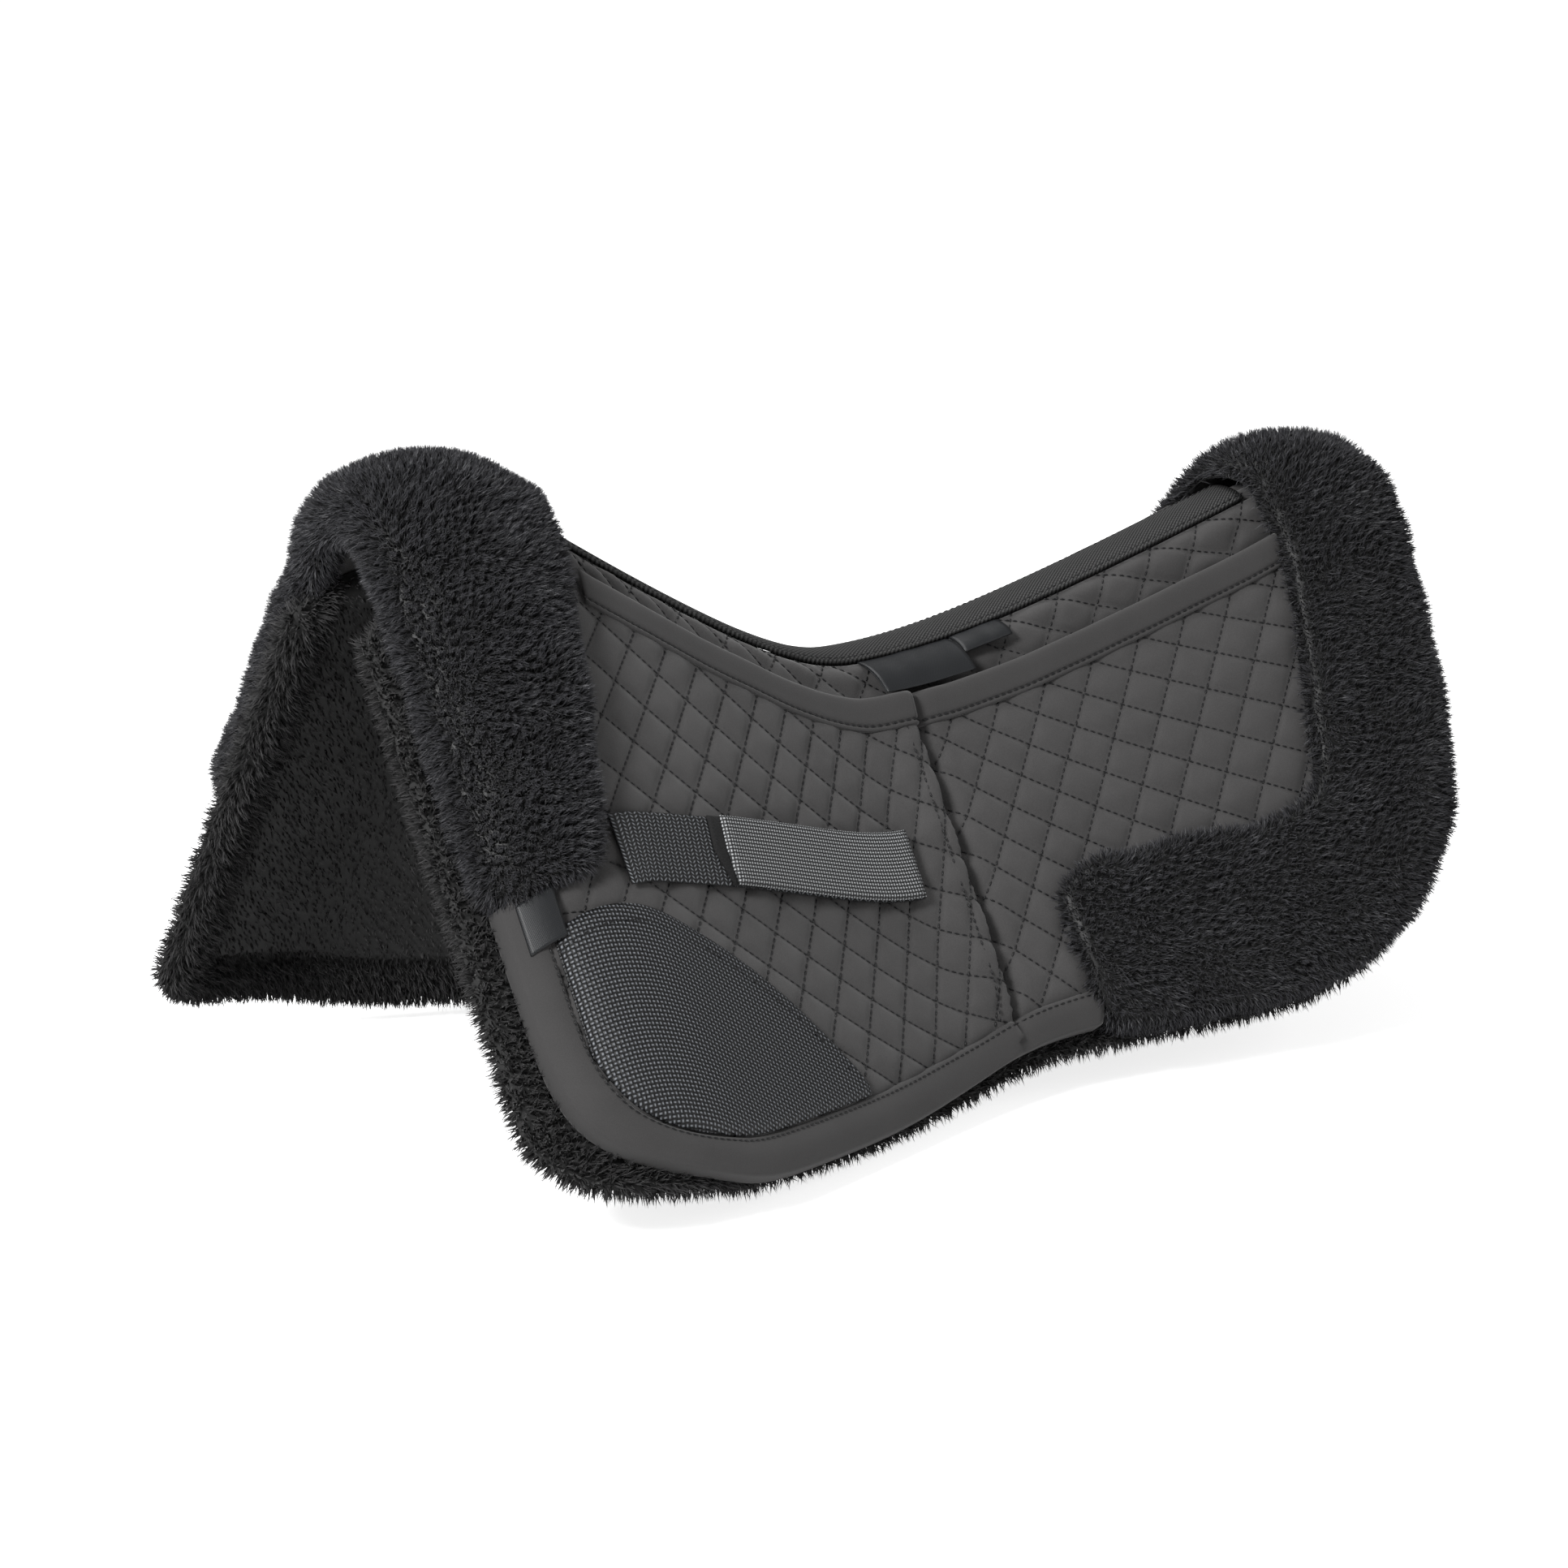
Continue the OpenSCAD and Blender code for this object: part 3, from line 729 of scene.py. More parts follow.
def run_tree(obj: bpy.types.Object, tree: bpy.types.NodeTree, values: dict[str, object]) -> bpy.types.Object:
    """Runs a geometry tree on a piece and keeps the result as its plain mesh.

    Args:
        obj: The piece.
        tree: The tree.
        values: A value for each named input.

    Returns:
        The piece.
    """
    modifier = obj.modifiers.new(tree.name, "NODES")
    modifier.node_group = tree
    for item in tree.interface.items_tree:
        if item.item_type == "SOCKET" and item.in_out == "INPUT" and item.name in values:
            modifier[item.identifier] = values[item.name]
    obj.update_tag()
    bpy.context.view_layer.update()
    return bake(obj)


class PileTree:
    """Covers a skin in bent tapering fibres that gather into locks."""

    SOCKETS = {
        "Density": "NodeSocketFloat",
        "Length": "NodeSocketFloat",
        "Width": "NodeSocketFloat",
        "Bend": "NodeSocketFloat",
        "Swirl": "NodeSocketFloat",
        "Lock Size": "NodeSocketFloat",
        "Lock Pull": "NodeSocketFloat",
        "Comb": "NodeSocketVector",
        "Seed": "NodeSocketInt",
        "Fibre": "NodeSocketMaterial",
    }

    def __init__(self) -> None:
        """Builds the tree."""
        self.tree, start, end = new_tree("fleece_pile", self.SOCKETS)
        tree, given = self.tree, start.outputs

        def calc(operation: str, a: object, b: object = 0.0, c: object = 0.0) -> bpy.types.NodeSocket:
            """One step of arithmetic."""
            return add_node(tree, "ShaderNodeMath", {"operation": operation}, {0: a, 1: b, 2: c}).outputs[0]

        def vector(operation: str, a: object, b: object = None, scale: object = None) -> bpy.types.NodeSocket:
            """One step of vector arithmetic."""
            inputs = {0: a}
            if b is not None:
                inputs[1] = b
            if scale is not None:
                inputs["Scale"] = scale
            return add_node(tree, "ShaderNodeVectorMath", {"operation": operation}, inputs).outputs[0]

        def stored(name: str) -> bpy.types.NodeSocket:
            """A number stored on the skin's vertices."""
            return add_node(
                tree, "GeometryNodeInputNamedAttribute", {"data_type": "FLOAT"}, {"Name": name}
            ).outputs[0]

        blade = add_node(
            tree,
            "GeometryNodeMeshGrid",
            None,
            {"Size X": 1.0, "Size Y": 1.0, "Vertices X": 2, "Vertices Y": 3},
        )
        split = add_node(
            tree, "ShaderNodeSeparateXYZ", None, {0: add_node(tree, "GeometryNodeInputPosition").outputs[0]}
        )
        rise = calc("ADD", split.outputs[1], 0.5)
        taper = calc("POWER", calc("SUBTRACT", 1.0, rise), 0.7)
        bent = add_node(
            tree,
            "ShaderNodeCombineXYZ",
            None,
            {
                0: calc("MULTIPLY", calc("MULTIPLY", split.outputs[0], given["Width"]), taper),
                1: calc(
                    "MULTIPLY",
                    calc("MULTIPLY", given["Bend"], given["Length"]),
                    calc("MULTIPLY", rise, rise),
                ),
                2: calc("MULTIPLY", rise, given["Length"]),
            },
        )
        marked = add_node(
            tree,
            "GeometryNodeStoreNamedAttribute",
            {"data_type": "FLOAT", "domain": "POINT"},
            {"Geometry": blade.outputs[0], "Name": "tip", "Value": rise},
        )
        shaped = add_node(
            tree,
            "GeometryNodeSetPosition",
            None,
            {"Geometry": marked.outputs[0], "Position": bent.outputs[0]},
        )
        fibre = add_node(
            tree, "GeometryNodeMergeByDistance", None, {"Geometry": shaped.outputs[0], "Distance": 0.00001}
        )
        spread = add_node(
            tree,
            "GeometryNodeDistributePointsOnFaces",
            {"distribute_method": "RANDOM"},
            {
                "Mesh": given["Geometry"],
                "Density": calc("MULTIPLY", given["Density"], stored("cover")),
                "Seed": given["Seed"],
            },
        )
        here = add_node(tree, "GeometryNodeInputPosition").outputs[0]
        lock = add_node(
            tree, "ShaderNodeTexVoronoi", {"feature": "F1"}, {
                "Vector": here, "Scale": calc("DIVIDE", 1.0, given["Lock Size"])
            }
        )
        pull = vector(
            "SCALE",
            vector("SUBTRACT", lock.outputs["Position"], here),
            None,
            calc("DIVIDE", given["Lock Pull"], given["Lock Size"]),
        )
        eddy = add_node(tree, "ShaderNodeTexNoise", None, {"Vector": here, "Scale": 1 / 0.028, "Detail": 2.0})
        turn = vector(
            "SCALE", vector("SUBTRACT", eddy.outputs["Color"], (0.5, 0.5, 0.5)), None, given["Swirl"]
        )
        lean = vector(
            "ADD", vector("ADD", spread.outputs["Normal"], pull), vector("ADD", turn, given["Comb"])
        )
        upright = add_node(tree, "FunctionNodeAlignRotationToVector", {"axis": "Z"}, {"Vector": lean})
        chance = add_node(
            tree, "FunctionNodeRandomValue", {"data_type": "FLOAT"}, {"Min": 0.0, "Max": 6.283, "Seed": 3}
        )
        spin = add_node(
            tree, "FunctionNodeAxisAngleToRotation", None, {"Axis": (0, 0, 1), "Angle": chance.outputs[1]}
        )
        turned = add_node(
            tree, "FunctionNodeRotateRotation", {"rotation_space": "LOCAL"}, {
                0: upright.outputs[0], 1: spin.outputs[0]
            }
        )
        tall = add_node(
            tree, "FunctionNodeRandomValue", {"data_type": "FLOAT"}, {"Min": 0.65, "Max": 1.1, "Seed": 5}
        )
        height = calc("MULTIPLY", tall.outputs[1], stored("pile"))
        size = add_node(tree, "ShaderNodeCombineXYZ", None, {0: 1.0, 1: height, 2: height})
        planted = add_node(
            tree,
            "GeometryNodeInstanceOnPoints",
            None,
            {
                "Points": spread.outputs[0],
                "Instance": fibre.outputs[0],
                "Rotation": turned.outputs[0],
                "Scale": size.outputs[0],
            },
        )
        real = add_node(tree, "GeometryNodeRealizeInstances", None, {0: planted.outputs[0]})
        dressed = add_node(
            tree, "GeometryNodeSetMaterial", None, {"Geometry": real.outputs[0], "Material": given["Fibre"]}
        )
        joined = add_node(tree, "GeometryNodeJoinGeometry")
        tree.links.new(dressed.outputs[0], joined.inputs[0])
        tree.links.new(given["Geometry"], joined.inputs[0])
        tree.links.new(joined.outputs[0], end.inputs[0])


class StitchTree:
    """Sets a row of short raised stitches along each edge path."""

    SOCKETS = {
        "Pitch": "NodeSocketFloat",
        "Length": "NodeSocketFloat",
        "Thickness": "NodeSocketFloat",
        "Thread": "NodeSocketMaterial",
    }

    def __init__(self) -> None:
        """Builds the tree."""
        self.tree, start, end = new_tree("stitch_row", self.SOCKETS)
        tree, given = self.tree, start.outputs
        line = add_node(tree, "GeometryNodeMeshToCurve", None, {0: given["Geometry"]})
        marks = add_node(
            tree,
            "GeometryNodeResampleCurve",
            {"mode": "LENGTH"},
            {"Curve": line.outputs[0], "Length": given["Pitch"]},
        )
        bead = add_node(tree, "GeometryNodeMeshUVSphere", None, {"Segments": 5, "Rings": 4, "Radius": 0.5})
        way = add_node(
            tree,
            "FunctionNodeAlignRotationToVector",
            {"axis": "Z"},
            {"Vector": add_node(tree, "GeometryNodeInputTangent").outputs[0]},
        )
        size = add_node(
            tree, "ShaderNodeCombineXYZ", None, {
                0: given["Thickness"], 1: given["Thickness"], 2: given["Length"]
            }
        )
        sewn = add_node(
            tree,
            "GeometryNodeInstanceOnPoints",
            None,
            {
                "Points": marks.outputs[0],
                "Instance": bead.outputs[0],
                "Rotation": way.outputs[0],
                "Scale": size.outputs[0],
            },
        )
        real = add_node(tree, "GeometryNodeRealizeInstances", None, {0: sewn.outputs[0]})
        dressed = add_node(
            tree,
            "GeometryNodeSetMaterial",
            None,
            {"Geometry": real.outputs[0], "Material": given["Thread"]},
        )
        tree.links.new(dressed.outputs[0], end.inputs[0])


# -------------------------------------------------------------- the workshop


@dataclass
class Workshop:
    """What every piece is made with: the finishes, the trees and the fitting rules."""

    finishes: Finishes
    pile: PileTree
    stitches: StitchTree

    def dress(self, obj: bpy.types.Object, material: bpy.types.Material) -> bpy.types.Object:
        """Gives a piece one material."""
        obj.data.materials.clear()
        obj.data.materials.append(material)
        return obj

    def bend(self, obj: bpy.types.Object, side: Side) -> None:
        """Bakes a piece's placement into its mesh and leaves it on no body."""
        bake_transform(obj)

    def fit(
        self,
        near: bpy.types.Object,
        body: str,
        slot: str,
        nodes: Sequence[str],
        padded: float | None = None,
        folds: bool = False,
        sheet: dict | None = None,
    ) -> None:
        """Attaches a near piece and its mirrored off piece to their bodies, or bakes their placement into
        their meshes, and hides the nodes they stand for.

        Args:
            near: The near piece, named near_something.
            body: The body it rides on without its side, or panel.
            slot: The material slot it would take; not used.
            nodes: Nodes it stands for, without their side, or with "=" before a shared one.
            padded: How full it is, for a padded piece; not used.
            folds: Whether its placement is baked into its mesh in place of attaching it to a body.
            sheet: Its flat size and hold, for a sheet of cloth; not used.
        """
        for side in Side:
            obj = near if side is Side.NEAR else mirrored(near, near.name.replace("near_", "off_"))
            if folds:
                self.bend(obj, side)
            else:
                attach(obj, f"{side.value}_{body}")
            if nodes:
                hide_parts(*(n[1:] if n[0] == "=" else f"{side.value}_{n}" for n in nodes))
            log.info("%s: %d faces on %s", obj.name, len(obj.data.polygons), "spine fold" if folds else body)


# ------------------------------------------------------------------ quilting


@dataclass(frozen=True)
class Lattice:
    """Two families of stitch lines that cross in diamonds.

    Attributes:
        origin: Where two lines cross, as x and depth.
        across: One diamond's side along the first family.
        down: One diamond's side along the second family.
        fan: How the diamonds widen over the panel.
    """

    origin: tuple[float, float]
    across: tuple[float, float]
    down: tuple[float, float]
    fan: tuple[float, float]

    def at(self, a: np.ndarray, b: np.ndarray) -> tuple[np.ndarray, np.ndarray]:
        """The x and depth of a lattice place."""
        return tuple(
            self.origin[i] + self.across[i] * a + self.down[i] * b + self.fan[i] * a * b for i in range(2)
        )


FRONT_LATTICE = Lattice((-0.1073, 0.0974), (0.0144, 0.0068), (-0.0140, 0.0241), (0.0008, -0.0006))
REAR_LATTICE = Lattice((0.0281, 0.0684), (0.0179, 0.0150), (-0.0099, 0.0126), (-0.0004, 0.0004))


@dataclass
class QuiltedCover:
    """A quilted cloth face: diamonds puffed between rows of stitches.

    Attributes:
        name: The piece's name, without its side.
        lattice: Its stitch lines.
        span: Its first and last x.
        top: Depth of its upper edge.
        bottom: Depth of its lower edge at x.
        level: Level of its cloth at x and depth.
        puff: Height of a diamond's crown.
        steps: Mesh steps along a diamond's two sides.
        reach: Range of lattice numbers to cover.
        channel: How deep the stitch lines lie in the cloth.
        margin: Flat rim kept clear of the bindings.
    """

    name: str
    lattice: Lattice
    span: tuple[float, float]
    top: float
    bottom: Callable[[np.ndarray], np.ndarray]
    level: Callable[[np.ndarray, np.ndarray], np.ndarray]
    puff: float
    steps: tuple[int, int] = (8, 10)
    reach: tuple[int, int, int, int] = (-16, 26, -14, 22)
    channel: float = 0.0010
    margin: float = 0.0130

    def inside(self, x: np.ndarray, u: np.ndarray) -> np.ndarray:
        """Whether each place lies on the cover."""
        return (x >= self.span[0]) & (x <= self.span[1]) & (u >= self.top) & (u <= self.bottom(x))

    def build(self) -> bpy.types.Object:
        """Meshes the cover's face, its diamonds puffed by a formula, and gives it a back."""
        a0, a1, b0, b1 = self.reach
        a, b = np.meshgrid(
            np.linspace(a0, a1, (a1 - a0) * self.steps[0] + 1), np.linspace(
                b0, b1, (b1 - b0) * self.steps[1] + 1
            ), indexing="ij"
        )
        x, u = self.lattice.at(a, b)
        keep = self.inside(x, u)
        cx = np.clip(x, *self.span)
        cu = np.clip(u, self.top, self.bottom(cx))
        ia, ib = np.indices(a.shape)
        pinned = (ia % self.steps[0] == 0) | (ib % self.steps[1] == 0) | ~keep
        crown = np.abs(np.sin(np.pi * a) * np.sin(np.pi * b)) ** 0.55
        flat = FORM.place(cx, cu, self.level(cx, cu) - self.channel)
        wrinkle = lumps(flat, 0.011, 3.7) * 0.25 + lumps(flat, 0.004, 9.1) * 0.12
        clear = smooth(cu - self.top, self.margin - 0.003, self.margin + 0.004)
        clear = clear * smooth(self.bottom(cx) - cu, self.margin - 0.004, self.margin + 0.003)
        lift = np.where(pinned, 0, self.puff * crown * (1 + wrinkle)) * clear
        points = FORM.place(cx, cu, self.level(cx, cu) - self.channel + lift)
        columns = a.shape[1]
        touches = keep[:-1, :-1] | keep[1:, :-1] | keep[:-1, 1:] | keep[1:, 1:]
        quads = [
            (i * columns + j, (i + 1) * columns + j, (i + 1) * columns + j + 1, i * columns + j + 1)
            for i, j in zip(*np.nonzero(touches))
        ]
        used = np.unique(np.array(quads))
        renumber = np.full(a.size, -1)
        renumber[used] = np.arange(len(used))
        faces = [tuple(int(renumber[k]) for k in q) for q in quads]
        obj = new_object(f"near_{self.name}", points.reshape(-1, 3)[used], faces)
        if sum(face.normal.y for face in obj.data.polygons) > 0:
            obj.data.flip_normals()
        bm = bmesh.new()
        bm.from_mesh(obj.data)
        bmesh.ops.remove_doubles(bm, verts=bm.verts, dist=0.00005)
        bmesh.ops.dissolve_degenerate(bm, edges=bm.edges, dist=0.00002)
        bm.to_mesh(obj.data)
        bm.free()
        solid = obj.modifiers.new("back", "SOLIDIFY")
        solid.thickness = 0.0022
        solid.offset = -1
        bake(obj)
        obj.data.shade_smooth()
        return obj

    def seams(self) -> list[np.ndarray]:
        """The stitch lines that lie on the cover, as paths of points."""
        paths = []
        a0, a1, b0, b1 = self.reach
        for number, low, high, first in [
            *((a, b0, b1, True) for a in range(a0, a1 + 1)),
            *((b, a0, a1, False) for b in range(b0, b1 + 1)),
        ]:
            run = np.linspace(low, high, (high - low) * 10)
            fixed = np.full_like(run, number)
            x, u = self.lattice.at(fixed, run) if first else self.lattice.at(run, fixed)
            keep = self.inside(x, u)
            if keep.sum() < 3:
                continue
            index = np.nonzero(keep)[0]
            for part in np.split(index, np.nonzero(np.diff(index) > 1)[0] + 1):
                if len(part) > 2:
                    px, pu = x[part], u[part]
                    paths.append(FORM.place(px, pu, self.level(px, pu) - self.channel + 0.0004))
        return paths


# -------------------------------------------------------------- plain pieces


def xs_between(low: float, high: float, step: float) -> np.ndarray:
    """Evenly spaced x from low to high, about step apart."""
    return np.linspace(low, high, max(2, round((high - low) / step) + 1))


def panel_grid(xs: np.ndarray, top: np.ndarray | float, bottom: np.ndarray, columns: int) -> tuple[
    np.ndarray, np.ndarray
]:
    """The x and depth of a grid from top to bottom at each x."""
    share = np.linspace(0, 1, columns)[None, :]
    top = np.broadcast_to(np.asarray(top, float), xs.shape)[:, None]
    return np.repeat(xs[:, None], columns, 1), top + (bottom[:, None] - top) * share


def tube(name: str, rows: np.ndarray) -> bpy.types.Object:
    """A closed tube through rows of profile points, its ends filled.

    Args:
        name: The piece's name.
        rows: Rows of closed profiles, all with the same number of points.

    Returns:
        The object.
    """
    count, points = rows.shape[:2]
    faces = [
        (
            i * points + j,
            i * points + (j + 1) % points,
            (i + 1) * points + (j + 1) % points,
            (i + 1) * points + j,
        )
        for i in range(count - 1)
        for j in range(points)
    ]
    ends = np.stack([rows[0].mean(0), rows[-1].mean(0)])
    first, last = count * points, count * points + 1
    faces += [((j + 1) % points, j, first) for j in range(points)]
    base = (count - 1) * points
    faces += [(base + j, base + (j + 1) % points, last) for j in range(points)]
    obj = new_object(name, np.concatenate([rows.reshape(-1, 3), ends]), faces)
    outward(obj)
    return obj


@dataclass
class PadBase:
    """The quilted foam base, the quilting beside the spine, and the spine tape."""

    shop: Workshop

    def build(self) -> None:
        """Builds and fits the pieces."""
        xs = xs_between(-FORM.front + 0.001, FORM.rear - 0.001, 0.008)
        x, u = panel_grid(xs, 0.0, FORM.hem_depth(xs, 0.004), 44)
        obj = shell("near_base", FORM.place(x, u, -0.0024), FORM.place(x, u, -0.0079), np.stack([x, u], -1))
        self.shop.dress(obj, self.shop.finishes.shell)
        self.shop.fit(
            obj, "panel", "quilted_fabric", ("quilt", "yoke", "=spine_band"), padded=0.5, folds=True
        )
        strip = QuiltedCover(
            "yoke_quilting",
            REAR_LATTICE,
            (-0.195, 0.262),
            0.0142,
            lambda at: np.full(np.shape(at), 0.042),
            lambda at, depth: 0.0008 - 0.0027 * smooth(depth, 0.020, 0.032),
            0.0024,
            (8, 8),
            (-14, 14, -16, 18),
            margin=0.0022,
        )
        cover = strip.build()
        self.shop.dress(cover, self.shop.finishes.shell)
        self.shop.fit(cover, "panel", "quilted_fabric", (), padded=0.5, folds=True)
        rows = stitch_rows(self.shop, "near_yoke_stitches", strip.seams())
        self.shop.fit(rows, "panel", "quilted_fabric", (), folds=True)
        self.tape()

    def tape(self) -> None:
        """Lays the woven tape along the spine and stitches its edges."""
        xs = xs_between(-0.188, 0.254, 0.004)
        us = np.array([-14.0, -13.6, -12.6, -11.6, -9, -5, 0, 5, 9, 11.6, 12.6, 13.6, 14.0]) * MM
        x, u = np.meshgrid(xs, us, indexing="ij")
        dent = 0.0005 * np.exp(-(((np.abs(u) - 0.0118) / 0.0007) ** 2)) + 0.0006 * smooth(
            np.abs(u), 0.0125, 0.014
        )
        wave = 0.0004 * lumps(np.stack([x, u, 0 * u], -1), 0.05, 2.2)
        obj = shell(
            "spine_binding_tape",
            FORM.place(x, u, 0.0036 - dent + wave),
            FORM.place(x, u, 0.0004),
            np.stack([x, u], -1),
        )
        self.shop.dress(obj, self.shop.finishes.tape)
        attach(obj, "spine")
        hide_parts("spine_tape")
        paths = [FORM.place(xs, np.full_like(xs, side * 0.0118), 0.0033) for side in (-1, 1)]
        rows = stitch_rows(self.shop, "spine_tape_stitches", paths)
        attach(rows, "spine")


def stitch_rows(
    shop: Workshop, name: str, paths: Sequence[np.ndarray], pitch: float = 0.0040
) -> bpy.types.Object:
    """Sews stitches along paths and keeps them as one plain mesh.

    Args:
        shop: The workshop.
        name: The piece's name.
        paths: Rows of points, in metres.
        pitch: Spacing of the stitches.

    Returns:
        The object.
    """
    vertices, edges, count = [], [], 0
    for path in paths:
        vertices.append(path)
        edges += [(count + i, count + i + 1) for i in range(len(path) - 1)]
        count += len(path)
    obj = new_object(name, np.concatenate(vertices), [], edges)
    values = {"Pitch": pitch, "Length": pitch * 0.72, "Thickness": 0.00095, "Thread": shop.finishes.thread}
    run_tree(obj, shop.stitches.tree, values)
    obj.data.shade_smooth()
    return obj


@dataclass
class Pockets:
    """The two quilted shim pockets with their bound mouths and the hem binding."""

    shop: Workshop
    paths: list[np.ndarray] = field(default_factory=list)

    @staticmethod
    def lower_edge(x: np.ndarray) -> np.ndarray:
        """Depth at which the covers end under the hem binding."""
        return FORM.hem_depth(FORM.within(x), 0.0035)

    def covers(self) -> None:
        """Builds the quilted pocket faces."""
        kinds = (
            (
                "front_cover",
                "front_pocket",
                FRONT_LATTICE,
                (-0.282, FORM.seam - 0.0004),
                0.0026,
                (8, 10),
                (-18, 26, -14, 22),
            ),
            (
                "rear_cover",
                "rear_pocket",
                REAR_LATTICE,
                (FORM.seam + 0.0004, 0.322),
                0.0026,
                (10, 8),
                (-22, 26, -18, 30),
            ),
        )
        for name, node, lattice, span, puff, steps, reach in kinds:
            cover = QuiltedCover(
                name,
                lattice,
                span,
                FORM.mouth + 0.001,
                self.lower_edge,
                FORM.cover_level,
                puff,
                steps,
                reach,
            )
            obj = cover.build()
            self.shop.dress(obj, self.shop.finishes.shell)
            self.shop.fit(obj, "panel", "quilted_fabric", (node,), padded=0.4)
            self.paths += cover.seams()
        us = np.linspace(0.060, float(FORM.hem_depth(0.004, 0.018)), 60)
        self.paths.append(FORM.place(FORM.seam - 0.009, us, FORM.cover_level(FORM.seam - 0.009, us) + 0.0010))

    def mouth(self, name: str, node: str, low: float, high: float) -> None:
        """Binds the mouth of one pocket.

        Args:
            name: The binding's name, without its side.
            node: The node it stands for.
            low: Its first x.
            high: Its last x.
        """
        xs = xs_between(low, high, 0.0025)
        keys = [
            (-0.4, -1.4),
            (-1.9, 0.2),
            (-2.2, 2.4),
            (-0.4, 4.0),
            (3.5, 4.1),
            (8, 3.4),
            (11.4, 2.7),
            (12.8, 1.5),
            (14.2, 2.2),
            (15.4, 1.5),
            (15.5, -0.4),
        ]
        section = spline(np.array(keys) * MM, 4)
        wave = lumps(np.stack([xs, 0 * xs, 0 * xs], -1), 0.035, 5.5) * 0.0007
        ripple = lumps(np.stack([xs, 0 * xs, 0 * xs], -1), 0.009, 1.5) * 0.00035
        rows = []
        for x, sway, swell in zip(xs, wave, ripple):
            u = FORM.mouth + section[:, 0] + sway
            level = FORM.cover_level(x, np.maximum(u, FORM.mouth))
            rows.append(FORM.place(x, u, level + section[:, 1] * (1 + swell / 0.0012 * 0.3)))
        rows = np.array(rows)
        obj = tube(f"near_{name}", rows)
        count = section.shape[0]
        run = np.concatenate([np.repeat(xs, count), xs[[0, -1]]])
        set_uv(obj, np.stack([run, np.concatenate([np.tile(section[:, 0], len(xs)), [0, 0]])], -1))
        self.shop.dress(obj, self.shop.finishes.binding)
        self.shop.fit(obj, "panel", "binding_fabric", (node,))
        at = int(np.argmin(np.abs(section[:, 0] - 0.013)))
        self.paths.append(rows[:, at] + np.array([0, -0.0004, 0.0004]))

    def hem(self) -> None:
        """Rolls the padded binding round the front of the hem."""
        path = FORM.outline()
        first = int(np.argmax(path[:, 1] > 0.212))
        last = int(np.argmax((path[:, 0] > 0.066) & (path[:, 1] > 0.1)))
        path = path[first:last]
        keys = [
            (13.0, -7.9),
            (2.0, -8.6),
            (-2.2, -6.0),
            (-2.6, -1.0),
            (-1.9, 2.5),
            (1.5, 4.3),
            (6.5, 4.6),
            (11.5, 3.2),
            (14.6, 1.1),
            (15.4, 0.2),
            (13.0, -1.2),
        ]
        section = spline(np.array(keys) * MM, 4)
        above = section[:, 1] > -0.002
        rows = []
        for k, (x, u, nx, nu) in enumerate(path):
            e = section[:, 0]
            px, pu = x + nx * e, u + nu * e
            level = FORM.cover_level(FORM.within(px), pu)
            swell = 1 + 0.07 * noise.noise(Vector((k * 0.11, 4.0, 0)))
            rows.append(
                FORM.place(
                    px,
                    pu,
                    np.where(
                        above,
                        level * smooth(section[:, 1], -0.002, 0.002) + section[:, 1] * swell,
                        section[:, 1],
                    ),
                )
            )
        rows = np.array(rows)
        obj = tube("near_hem_binding", rows)
        self.shop.dress(obj, self.shop.finishes.binding)
        self.shop.fit(obj, "panel", "binding_fabric", ("edge_binding",), padded=0.7)
        at = int(np.argmin(np.abs(section[:, 0] - 0.0126) + 0.1 * (section[:, 1] < 0.001)))
        self.paths.append(rows[:, at] + np.array([0, -0.0003, 0.0002]))

    def build(self) -> None:
        """Builds and fits every piece, then their stitches."""
        self.covers()
        self.mouth("front_mouth_binding", "front_pocket_binding", -0.186, FORM.seam - 0.0003)
        self.mouth("rear_mouth_binding", "rear_pocket_binding", FORM.seam + 0.0003, 0.252)
        self.hem()
        rows = stitch_rows(self.shop, "near_quilting_stitches", self.paths)
        self.shop.fit(rows, "panel", "quilted_fabric", ())


# ----------------------------------------------------------------- the fleece


